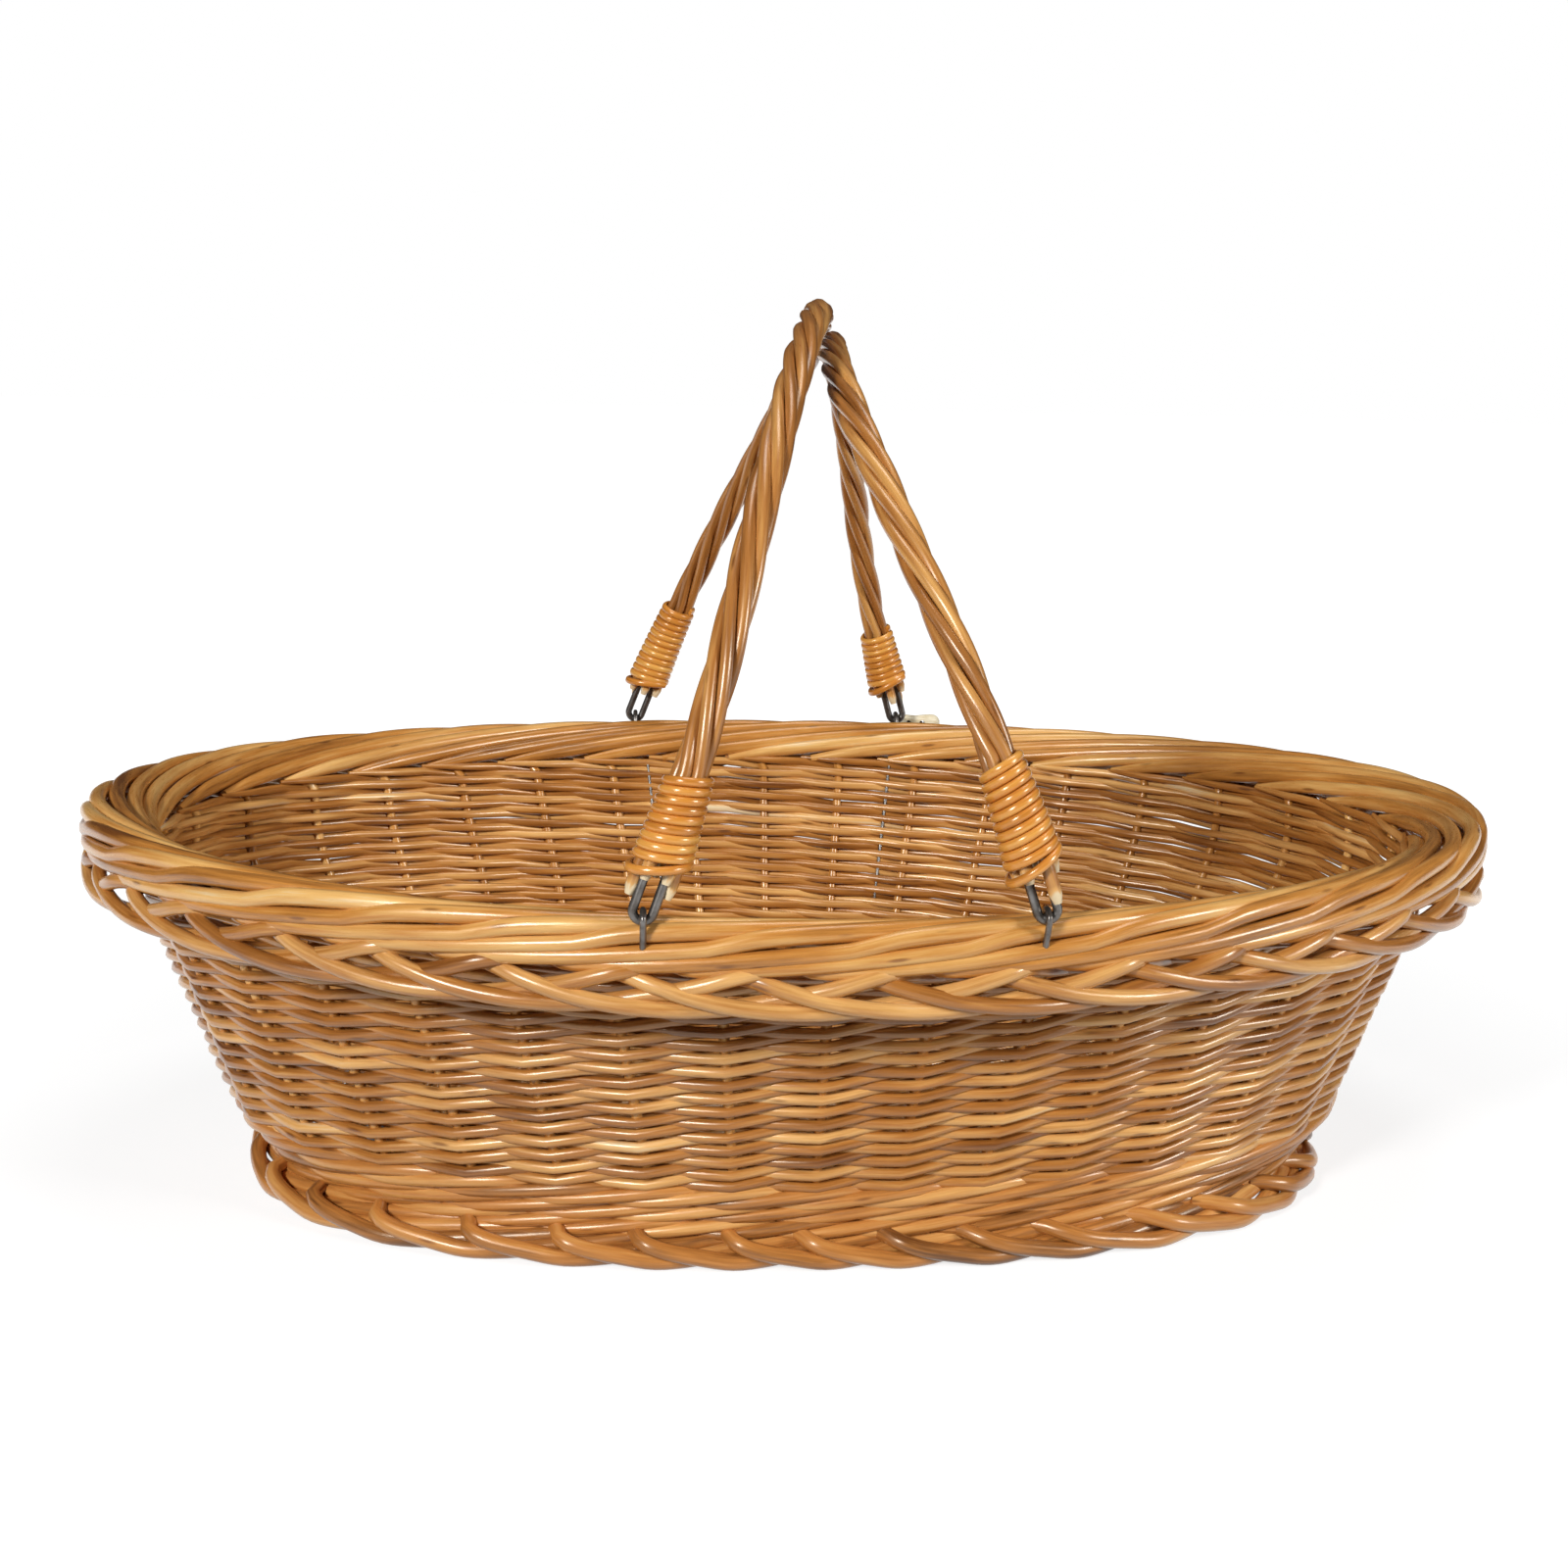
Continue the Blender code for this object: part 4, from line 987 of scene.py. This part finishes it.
def skein_winding(name, side, back, place, sizes, finish):
    """A flat skein of split willow wound round a bow's end, crowned across its width."""
    hinge_x, lean, half_span, height = place
    matrix = hinge_matrix(hinge_x, lean)
    length, turns = WINDINGS[(side, back)]
    steps = 28
    count = turns * steps
    pitch = length / (turns + 0.4)
    thick = sizes.skein_thickness
    half = 0.5 * pitch * 0.98
    section = [(-half, -0.20), (-0.82 * half, 0.62), (-0.40 * half, 0.97), (0.40 * half, 0.97)]
    section += [(0.82 * half, 0.62), (half, -0.20), (0.0, -0.35)]
    bm = bmesh.new()
    rings = []
    places = []
    run = 0.0
    before = None
    for i in range(count + 1):
        angle = 2.0 * math.pi * i / steps + (0.6 if back else 2.2)
        loose = max(0.0, 1.0 - i / (0.9 * steps))
        tail = max(0.0, 1.0 - (count - i) / (0.35 * steps))
        lift = WINDING_START + 0.5 * pitch + (length - pitch) * i / count
        share = end_share(lift, height)
        if back:
            share = 1.0 - share
        centre, along, across, inward = bow_frame(share, half_span, height)
        if back:
            along = -along
        wide, deep = spread_at(lift, length)
        outer = 0.5 * sizes.bow_rod_thickness + 0.0002 + 0.35 * thick + 0.0007 * loose - 0.0006 * tail
        ray = (wide + outer) * math.cos(angle) * across + (deep + outer) * math.sin(angle) * inward
        normal = ((deep + outer) * math.cos(angle) * across + (wide + outer) * math.sin(angle) * inward)
        normal.normalize()
        skew = (0.16 + 0.25 * loose) * (wide + outer) * math.cos(angle - 0.5)
        middle = centre + ray + (skew - 0.0004 * loose) * along
        ring = []
        for across_part, out_part in section:
            point = middle + across_part * along + out_part * thick * normal
            ring.append(bm.verts.new(matrix @ point))
        if before is not None:
            run += (middle - before).length
        before = middle
        rings.append(ring)
        places.append(run)
    skin_rings(bm, rings)
    made = mesh_piece(name, bm, finish, sharp=48.0)
    straight_places = []
    tones = []
    chance = random.Random(31 + turns + (7 if back else 0))
    shades = [chance.gauss(0.52, 0.09) for _ in range(turns + 2)]
    for i in range(count + 1):
        for across_part, _ in section:
            straight_places.extend((places[i] + 3.0 * turns, across_part, 0.0))
            tones.append(shades[i // steps])
    stored = made.data.attributes.new("rod_place", "FLOAT_VECTOR", "POINT")
    stored.data.foreach_set("vector", straight_places)
    stored = made.data.attributes.new("rod_tone", "FLOAT", "POINT")
    stored.data.foreach_set("value", tones)
    return made


def link_wire(back, place):
    """The bent wire in a bow's end, a long U whose bend hangs on the staple."""
    hinge_x, lean, half_span, height = place
    matrix = hinge_matrix(hinge_x, lean)
    side = 1.0 if back else -1.0
    top = WINDING_START + LINK_EMBED - 0.0003
    share = end_share(top, height)
    if back:
        share = 1.0 - share
    centre, _, across, _ = bow_frame(share, half_span, height)
    points = [centre - LINK_HALF_SPREAD * across]
    low = Vector((-LINK_HALF_SPREAD, side * half_span, 0.0))
    for i in range(1, 6):
        points.append(points[0].lerp(low, i / 6.0))
    for i in range(17):
        angle = math.pi + math.pi * i / 16.0
        x = LINK_HALF_SPREAD * math.cos(angle)
        z = LINK_HALF_SPREAD * math.sin(angle)
        points.append(Vector((x, side * half_span, z)))
    high = centre + LINK_HALF_SPREAD * across
    low = points[-1]
    for i in range(1, 7):
        points.append(low.lerp(high, i / 6.0))
    points = [matrix @ point for point in points]
    return new_rod(points, [LINK_WIRE_RADIUS] * len(points), 0.5)


def staple_wire(x, side):
    """The wire loop in the rim that a link hangs on."""
    middle = rim_y(x)
    eye = middle + HINGE_OUTSET
    foot = RIM_HEIGHT - STAPLE_FOOT_DROP
    knots = [
        (0.0, middle + 0.0026, foot),
        (1.0, eye - 0.0040, HINGE_HEIGHT - 0.0026),
        (1.5, eye - 0.0027, HINGE_HEIGHT - 0.0006),
        (2.0, eye, HINGE_HEIGHT + 0.0001),
        (2.5, eye + 0.0027, HINGE_HEIGHT - 0.0006),
        (3.0, eye + 0.0040, HINGE_HEIGHT - 0.0026),
        (4.0, middle + 0.0070, foot),
    ]
    points = []
    for _, y, z in smooth_through(knots, 6):
        points.append(Vector((x, side * y, z)))
    return new_rod(points, [STAPLE_WIRE_RADIUS] * len(points), 0.5)


def shank_wire(x):
    """The long end of a back staple, which runs down the inside of the wall between the weavers."""
    top = WALL_TOP - SHANK_TOP_DROP
    bottom = WALL_TOP - SHANK_BOTTOM_DROP
    tries = [0.02 * i for i in range(1, 900)]
    place = min(tries, key=lambda spot: abs(roll_place(spot, 0.0, 0.0).x - x))
    points = []
    for i in range(9):
        height = top + (bottom - top) * i / 8.0
        points.append(wall_place(place, height, SHANK_DEPTH - 0.5 * WALL_THICKNESS))
    return new_rod(points, taper_ends([SHANK_RADIUS] * 9, 0.8, 0.6, 2), 0.5)


# Toggle and its tie

def toggle_middle():
    y = rim_y(RIGHT_HINGE_X) + HINGE_OUTSET + TOGGLE_OUTSET
    return Vector((RIGHT_HINGE_X + TOGGLE_OFFSET, y, HINGE_HEIGHT - TOGGLE_DROP))


def toggle_peg(finish):
    """A short turned peg with two lobes and two holes."""
    middle = toggle_middle()
    knots = [(0.0, 0.30), (0.03, 0.62), (0.10, 0.93), (0.24, 1.0), (0.42, 0.90), (0.50, 0.86)]
    knots += [(0.58, 0.90), (0.76, 1.0), (0.90, 0.93), (0.97, 0.62), (1.0, 0.30)]
    bm = bmesh.new()
    rings = []
    sides = 28
    for share, girth in smooth_through(knots, 48):
        ring = []
        for j in range(sides):
            angle = 2.0 * math.pi * j / sides
            y = girth * TOGGLE_HALF_DEPTH * math.cos(angle)
            z = girth * TOGGLE_HALF_HEIGHT * math.sin(angle)
            ring.append(bm.verts.new(middle + Vector(((share - 0.5) * TOGGLE_LENGTH, y, z))))
        rings.append(ring)
    skin_rings(bm, rings)
    peg = mesh_piece("toggle_peg", bm, finish)
    cutters = []
    radius = TOGGLE_HOLE_RADIUS
    sideways = Matrix.Rotation(0.5 * math.pi, 3, "X")
    for way in (-0.5, 0.5):
        drill = bmesh.new()
        bmesh.ops.create_cone(drill, cap_ends=True, segments=24, radius1=radius, radius2=radius, depth=0.02)
        spot = middle + Vector((way * TOGGLE_HOLE_SPACING, 0.0, 0.0))
        bmesh.ops.rotate(drill, cent=(0.0, 0.0, 0.0), matrix=sideways, verts=drill.verts)
        bmesh.ops.translate(drill, vec=spot, verts=drill.verts)
        cutter = mesh_piece("drill", drill, finish)
        modifier = peg.modifiers.new("hole", "BOOLEAN")
        modifier.operation = "DIFFERENCE"
        modifier.solver = "EXACT"
        modifier.object = cutter
        cutters.append(cutter)
    make_plain(peg)
    for cutter in cutters:
        bpy.data.objects.remove(cutter, do_unlink=True)
    peg.data.set_sharp_from_angle(angle=math.radians(35.0))
    return peg


def toggle_tie(finish):
    """The dark cord through both holes and round the staple's outer leg."""
    middle = toggle_middle()
    place_y = rim_y(RIGHT_HINGE_X)
    leg = Vector((RIGHT_HINGE_X, place_y + STAPLE_LEG_OUTSET, middle.z))
    reach = STAPLE_WIRE_RADIUS + CORD_GAP + CORD_RADIUS
    left_x = middle.x - 0.5 * TOGGLE_HOLE_SPACING
    right_x = middle.x + 0.5 * TOGGLE_HOLE_SPACING
    near_y = middle.y - TOGGLE_HALF_DEPTH - CORD_GAP - CORD_RADIUS
    first_y = near_y - 2.0 * CORD_RADIUS - CORD_GAP
    far_y = middle.y + TOGGLE_HALF_DEPTH + CORD_GAP + CORD_RADIUS
    flat = [(leg.x + reach, first_y), (right_x, first_y), (right_x, far_y), (left_x, far_y)]
    flat += [(left_x, near_y), (leg.x - reach, near_y)]
    for i in range(9):
        angle = math.pi + math.pi * i / 8.0
        flat.append((leg.x + reach * math.cos(angle), leg.y + reach * math.sin(angle)))
    points = []
    for i, (x, y) in enumerate(flat):
        next_x, next_y = flat[(i + 1) % len(flat)]
        for j in range(4):
            share = j / 4.0
            points.append(Vector((x + share * (next_x - x), y + share * (next_y - y), middle.z)))
    for _ in range(3):
        count = len(points)
        points = [(points[i - 1] + 2.0 * points[i] + points[(i + 1) % count]) / 4.0 for i in range(count)]
    rod = new_rod(points, [CORD_RADIUS] * len(points), 0.5, closed=True)
    return sweep_rods("toggle_tie", [rod], 8, finish)


# Settings in the sidebar; lengths are in metres and powers in watts

def metres(name, description, default, low, high):
    return FloatProperty(
        name=name, description=description, default=default,
        min=low, max=high, subtype="DISTANCE", unit="LENGTH",
    )


def power(name, description, default):
    return FloatProperty(name=name, description=description, default=default, min=0.0, max=500.0)


class BasketWeaveSizes(bpy.types.PropertyGroup):
    weaver_bottom: metres("Weaver at the foot", "Thickness of a side weaver's butt", 0.0038, 0.0015, 0.0045)
    weaver_top: metres("Weaver at the top", "Thickness of a side weaver's tip", 0.0035, 0.0015, 0.0045)
    row_pitch: metres("Row pitch", "Height from one row of strokes to the next", 0.0050, 0.003, 0.008)
    weaver_climb: FloatProperty(
        name="Stroke climb", description="Rows that a weaver climbs from before a stake to behind the next",
        default=0.76, min=0.3, max=1.5,
    )
    points_per_stake: IntProperty(
        name="Points per stake", description="Points on a weaver for each stake", default=8, min=4, max=12,
    )
    wale_thickness: metres("Wale rod", "Thickness of the rods at the foot of the wall", 0.0046, 0.002, 0.007)
    foot_thickness: metres("Foot border rod", "Thickness of the foot border's rods", 0.0057, 0.003, 0.008)
    bottom_thickness: metres("Bottom weaver", "Thickness of the bottom's weavers", 0.0029, 0.0015, 0.0045)
    bottom_pitch: metres("Bottom pitch", "Distance between rounds of the bottom", 0.0027, 0.002, 0.006)
    rim_thickness: metres("Rim rod", "Thickness of the rolled border's rods", 0.0053, 0.002, 0.007)
    braid_thickness: metres("Braid rod", "Thickness of the braid's rods", 0.0052, 0.002, 0.007)


class BasketHandleSizes(bpy.types.PropertyGroup):
    bow_rod_thickness: metres("Bow rod", "Thickness of a handle's rods", 0.0041, 0.002, 0.006)
    bow_turns: FloatProperty(
        name="Turns", description="Turns of the rods round each other", default=4.0, min=0.0, max=9.0,
    )
    bow_points: IntProperty(
        name="Points per rod", description="Points along each rod of a bow", default=190, min=60, max=300,
    )
    skein_thickness: metres("Skein", "Thickness of the flat skein", 0.0012, 0.0005, 0.003)


def tint(name, description, colour):
    return FloatVectorProperty(
        name=name, description=description, default=colour, min=0.0, max=1.0, size=3, subtype="COLOR",
    )


class BasketColours(bpy.types.PropertyGroup):
    side_deep: tint("Side deep", "Darkest shade of the side weave", (0.150, 0.042, 0.006))
    side_middle: tint("Side middle", "Usual shade of the side weave", (0.430, 0.165, 0.031))
    side_bright: tint("Side bright", "Lightest shade of the side weave", (0.780, 0.430, 0.140))
    base_deep: tint("Foot deep", "Darkest shade of the foot", (0.130, 0.045, 0.011))
    base_middle: tint("Foot middle", "Usual shade of the foot", (0.520, 0.205, 0.045))
    base_bright: tint("Foot bright", "Lightest shade of the foot", (0.760, 0.410, 0.130))
    rim_deep: tint("Rim deep", "Darkest shade of the rim", (0.180, 0.058, 0.009))
    rim_middle: tint("Rim middle", "Usual shade of the rim", (0.550, 0.228, 0.044))
    rim_bright: tint("Rim bright", "Lightest shade of the rim", (0.800, 0.470, 0.155))
    handle_deep: tint("Handle deep", "Darkest shade of the handle rods", (0.150, 0.050, 0.009))
    handle_middle: tint("Handle middle", "Usual shade of the handle rods", (0.400, 0.155, 0.034))
    handle_bright: tint("Handle bright", "Lightest shade of the handle rods", (0.720, 0.380, 0.110))
    skein_deep: tint("Skein deep", "Darkest shade of the windings", (0.260, 0.080, 0.010))
    skein_middle: tint("Skein middle", "Usual shade of the windings", (0.660, 0.250, 0.036))
    skein_bright: tint("Skein bright", "Lightest shade of the windings", (0.860, 0.460, 0.105))
    cut_end: tint("Cut end", "Pale wood of a cut rod", (0.800, 0.640, 0.400))
    steel: tint("Steel", "The hinge wires", (0.200, 0.190, 0.180))
    pale_wood: tint("Toggle wood", "The toggle behind the rim", (0.860, 0.780, 0.580))
    cord: tint("Cord", "The toggle's tie", (0.120, 0.070, 0.035))


class BasketStudio(bpy.types.PropertyGroup):
    key_power: power("Key light", "Power of the small bright light at the front left", 48.0)
    fill_power: power("Fill light", "Power of the light at the front right", 30.0)
    top_power: power("Top light", "Power of the wide light above", 12.0)
    room_strength: FloatProperty(
        name="Room", description="Brightness of the white room around", default=0.03, min=0.0, max=2.0,
    )


# One step for each group of pieces

def dress(piece, body, nodes):
    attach(piece, body)
    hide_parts(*nodes)


class BASKET_OT_side_weave(bpy.types.Operator):
    """Weave the side: one weaver for each stake, each in front of one stake and behind the next"""

    bl_idname = "basket.side_weave"
    bl_label = "Side weave"

    def execute(self, context):
        sizes = context.scene.basket_weave
        chance = random.Random(11)
        weavers = [side_weaver(number, sizes, chance) for number in range(STAKE_COUNT)]
        finish = finish_named("side willow finish")
        for name, group in (("side_weavers_even", weavers[0::2]), ("side_weavers_odd", weavers[1::2])):
            piece = sweep_rods(name, group, 10, finish)
            dress(piece, "basket", ["side_weave"])
        return {"FINISHED"}


class BASKET_OT_foot(bpy.types.Operator):
    """Lay the wale at the foot of the wall and the scalloped foot border"""

    bl_idname = "basket.foot"
    bl_label = "Wale and foot border"

    def execute(self, context):
        sizes = context.scene.basket_weave
        chance = random.Random(23)
        finish = finish_named("base willow finish")
        wale = sweep_rods("wale_rods", [wale_rod(i, sizes, chance) for i in range(3)], 12, finish)
        dress(wale, "basket", ["bottom_wale"])
        strokes = [foot_stroke(i, sizes, chance) for i in range(STAKE_COUNT)]
        foot = sweep_rods("foot_border_rods", strokes, 14, finish)
        dress(foot, "basket", ["foot_border"])
        return {"FINISHED"}


class BASKET_OT_bottom(bpy.types.Operator):
    """Weave the bottom round its cross sticks and long sticks"""

    bl_idname = "basket.bottom"
    bl_label = "Bottom"

    def execute(self, context):
        sizes = context.scene.basket_weave
        chance = random.Random(37)
        rounds = int((BASE_HALF_WIDTH - 0.006) / sizes.bottom_pitch) + BASE_EDGE_ROUNDS
        rings = [bottom_ring(i, sizes, chance) for i in range(rounds)]
        weave = sweep_rods("bottom_weavers", rings, 8, finish_named("side willow finish"))
        dress(weave, "basket", ["base_weave"])
        sticks = sweep_rods("bottom_sticks", stick_rods(), 12, finish_named("rim willow finish"))
        names = [f"cross_stick_{i + 1}" for i in range(CROSS_STICK_COUNT)]
        names += [f"long_stick_{i + 1}" for i in range(LONG_STICK_COUNT)]
        dress(sticks, "basket", names)
        return {"FINISHED"}


class BASKET_OT_rim(bpy.types.Operator):
    """Bring the stakes up the wall and lay them over into the rolled border"""

    bl_idname = "basket.rim"
    bl_label = "Stakes and rolled border"

    def execute(self, context):
        sizes = context.scene.basket_weave
        chance = random.Random(41)
        rods = [border_rod(i, sizes, chance) for i in range(STAKE_COUNT)]
        piece = sweep_rods("border_rods", rods, 12, finish_named("rim willow finish"))
        dress(piece, "basket", ["rim_border_and_stakes"])
        return {"FINISHED"}


class BASKET_OT_braid(bpy.types.Operator):
    """Plait the braid that runs under the rolled border"""

    bl_idname = "basket.braid"
    bl_label = "Braid"

    def execute(self, context):
        sizes = context.scene.basket_weave
        chance = random.Random(53)
        rods = [braid_rod(i, sizes, chance) for i in range(STAKE_COUNT)]
        piece = sweep_rods("braid_rods", rods, 12, finish_named("side willow finish"))
        dress(piece, "basket", ["rim_braid"])
        return {"FINISHED"}


class BASKET_OT_handles(bpy.types.Operator):
    """Twist the rods of both bows"""

    bl_idname = "basket.handles"
    bl_label = "Handle bows"

    def execute(self, context):
        sizes = context.scene.basket_handles
        finish = finish_named("handle willow finish")
        for seed, (side, place) in enumerate(bow_places().items()):
            chance = random.Random(61 + seed)
            rods = [bow_rod(side, i, place, sizes, chance) for i in range(BOW_RODS)]
            piece = sweep_rods(f"{side}_bow_rods", rods, 12, finish)
            names = [f"{side}_rod_{i + 1}" for i in range(BOW_RODS)]
            dress(piece, f"{side}_handle", names)
        return {"FINISHED"}


class BASKET_OT_windings(bpy.types.Operator):
    """Wind a glossy flat skein round each end of the bows"""

    bl_idname = "basket.windings"
    bl_label = "Skein windings"

    def execute(self, context):
        sizes = context.scene.basket_handles
        finish = finish_named("handle skein finish")
        for side, place in bow_places().items():
            for back, word in ((False, "front"), (True, "back")):
                piece = skein_winding(f"{side}_{word}_skein", side, back, place, sizes, finish)
                dress(piece, f"{side}_handle", [f"{side}_{word}_winding"])
        return {"FINISHED"}


class BASKET_OT_hinges(bpy.types.Operator):
    """Bend the steel links in the bow ends and the staples that they hang on"""

    bl_idname = "basket.hinges"
    bl_label = "Links and staples"

    def execute(self, context):
        finish = finish_named("dark steel finish")
        for side, place in bow_places().items():
            wires = [link_wire(back, place) for back in (False, True)]
            piece = sweep_rods(f"{side}_link_wires", wires, 16, finish)
            dress(piece, f"{side}_handle", [f"{side}_front_link", f"{side}_back_link"])
        staples = []
        names = []
        for side, x in (("left", LEFT_HINGE_X), ("right", RIGHT_HINGE_X)):
            for word, way in (("front", -1.0), ("back", 1.0)):
                staples.append(staple_wire(x, way))
                names.append(f"staple_{side}_{word}")
            staples.append(shank_wire(x))
        piece = sweep_rods("staple_wires", staples, 12, finish)
        dress(piece, "basket", names)
        return {"FINISHED"}


class BASKET_OT_toggle(bpy.types.Operator):
    """Turn the pale toggle behind the rim and tie it to its staple"""

    bl_idname = "basket.toggle"
    bl_label = "Toggle"

    def execute(self, context):
        peg = toggle_peg(finish_named("pale wood finish"))
        dress(peg, "basket", ["anchor_toggle"])
        tie = toggle_tie(finish_named("dark cord finish"))
        dress(tie, "basket", ["toggle_cord"])
        return {"FINISHED"}


def area_lamp(name, watts, size, place, target):
    lamp = bpy.data.lights.new(name, "AREA")
    lamp.energy = watts
    lamp.shape = "DISK"
    lamp.size = size
    made = bpy.data.objects.new(name, lamp)
    made.location = place
    made.rotation_euler = (Vector(target) - Vector(place)).to_track_quat("-Z", "Y").to_euler()
    bpy.context.scene.collection.objects.link(made)


def studio_floor():
    """A wide pale floor, white to the camera, with the basket's shadow and a painted shade under its foot,
    where the floor's glow is taken away.
    """
    bm = bmesh.new()
    bmesh.ops.create_circle(bm, cap_ends=True, segments=96, radius=14.0)
    made, tree, shader = new_finish("studio floor")
    link = tree.links.new
    shader.inputs["Base Color"].default_value = (0.30, 0.30, 0.30, 1.0)
    shader.inputs["Roughness"].default_value = 0.9
    shader.inputs["Specular IOR Level"].default_value = 0.1
    rays = add_node(tree, "ShaderNodeLightPath", -700, 300).outputs
    seen = worked_out(tree, rays["Is Camera Ray"], rays["Is Glossy Ray"], -500, 300, "MAXIMUM")
    seen = worked_out(tree, seen, rays["Is Transmission Ray"], -350, 300, "MAXIMUM")
    spot = add_node(tree, "ShaderNodeTexCoord", -900, 0).outputs["Object"]
    far = add_node(tree, "ShaderNodeVectorMath", -700, 0, operation="LENGTH")
    link(spot, far.inputs[0])
    glow = scaled(tree, far.outputs["Value"], 0.30, 0.75, 0.80, 1.0, -500, 0)
    glow = worked_out(tree, seen, glow, -200, 300, "MULTIPLY")
    # Painted shade: the glow fades out inside the foot's oval, so the floor under the basket, and what shows
    # of it through the weave, stays dark.
    oval = add_node(tree, "ShaderNodeVectorMath", -900, -250, operation="DIVIDE")
    oval.inputs[1].default_value = (FOOT_HALF_LENGTH, FOOT_HALF_WIDTH, 1.0)
    link(spot, oval.inputs[0])
    share = add_node(tree, "ShaderNodeVectorMath", -700, -250, operation="LENGTH")
    link(oval.outputs["Vector"], share.inputs[0])
    painted_foot_shade_mask = scaled(tree, share.outputs["Value"], 0.80, 0.97, 0.0, 1.0, -500, -250)
    glow = worked_out(tree, glow, painted_foot_shade_mask, 0, 300, "MULTIPLY")
    shader.inputs["Emission Color"].default_value = (1.0, 1.0, 1.0, 1.0)
    link(glow, shader.inputs["Emission Strength"])
    mesh = bpy.data.meshes.new("studio_floor")
    bm.to_mesh(mesh)
    bm.free()
    mesh.materials.append(made)
    floor = bpy.data.objects.new("studio_floor", mesh)
    bpy.context.scene.collection.objects.link(floor)


class BASKET_OT_studio(bpy.types.Operator):
    """Set up the white floor, the soft lamps and the camera"""

    bl_idname = "basket.studio"
    bl_label = "Studio"

    def execute(self, context):
        scene = context.scene
        settings = scene.basket_studio
        studio_floor()
        for name, setting, size, place in LAMPS:
            area_lamp(name, getattr(settings, setting), size, place, LAMP_TARGET)
        world = bpy.data.worlds.new("white room")
        world.use_nodes = True
        tree = world.node_tree
        back = tree.nodes["Background"]
        back.inputs["Color"].default_value = (1.0, 1.0, 1.0, 1.0)
        rays = add_node(tree, "ShaderNodeLightPath", -700, 0).outputs
        seen = worked_out(tree, rays["Is Camera Ray"], rays["Is Transmission Ray"], -500, 0, "MAXIMUM")
        strength = scaled(tree, seen, 0.0, 1.0, settings.room_strength, 1.0, -300, 0)
        tree.links.new(strength, back.inputs["Strength"])
        scene.world = world
        lens = bpy.data.cameras.new("photo_camera")
        lens.lens = LENS_LENGTH
        lens.sensor_width = SENSOR_WIDTH
        lens.clip_start = 0.05
        lens.clip_end = 60.0
        camera = bpy.data.objects.new("photo_camera", lens)
        turn = Matrix.Rotation(CAMERA_HEADING, 4, "Z") @ Matrix.Rotation(0.5 * math.pi - CAMERA_DIP, 4, "X")
        turn = turn @ Matrix.Rotation(CAMERA_ROLL, 4, "Z")
        camera.matrix_world = Matrix.Translation(Vector(CAMERA_PLACE)) @ turn
        scene.collection.objects.link(camera)
        scene.camera = camera
        scene.view_settings.view_transform = "Standard"
        return {"FINISHED"}


STEPS = (
    BASKET_OT_side_weave,
    BASKET_OT_foot,
    BASKET_OT_bottom,
    BASKET_OT_rim,
    BASKET_OT_braid,
    BASKET_OT_handles,
    BASKET_OT_windings,
    BASKET_OT_hinges,
    BASKET_OT_toggle,
    BASKET_OT_studio,
)


class BASKET_PT_panel(bpy.types.Panel):
    """The basket's steps, sizes and colours"""

    bl_label = "Market basket"
    bl_idname = "BASKET_PT_panel"
    bl_space_type = "VIEW_3D"
    bl_region_type = "UI"
    bl_category = "Basket"

    def draw(self, context):
        layout = self.layout
        for step in STEPS:
            layout.operator(step.bl_idname)
        for group in ("basket_weave", "basket_handles", "basket_colours", "basket_studio"):
            settings = getattr(context.scene, group)
            box = layout.box()
            for key in settings.__annotations__:
                box.prop(settings, key)


GROUPS = (
    ("basket_weave", BasketWeaveSizes),
    ("basket_handles", BasketHandleSizes),
    ("basket_colours", BasketColours),
    ("basket_studio", BasketStudio),
)


def register():
    for name, group in GROUPS:
        bpy.utils.register_class(group)
        setattr(bpy.types.Scene, name, PointerProperty(type=group))
    for step in STEPS:
        bpy.utils.register_class(step)
    bpy.utils.register_class(BASKET_PT_panel)


def unregister():
    bpy.utils.unregister_class(BASKET_PT_panel)
    for step in reversed(STEPS):
        bpy.utils.unregister_class(step)
    for name, group in reversed(GROUPS):
        delattr(bpy.types.Scene, name)
        bpy.utils.unregister_class(group)


def main():
    register()
    bpy.ops.basket.side_weave()
    bpy.ops.basket.foot()
    bpy.ops.basket.bottom()
    bpy.ops.basket.rim()
    bpy.ops.basket.braid()
    bpy.ops.basket.handles()
    bpy.ops.basket.windings()
    bpy.ops.basket.hinges()
    bpy.ops.basket.toggle()
    bpy.ops.basket.studio()


if __name__ == "__main__":
    main()
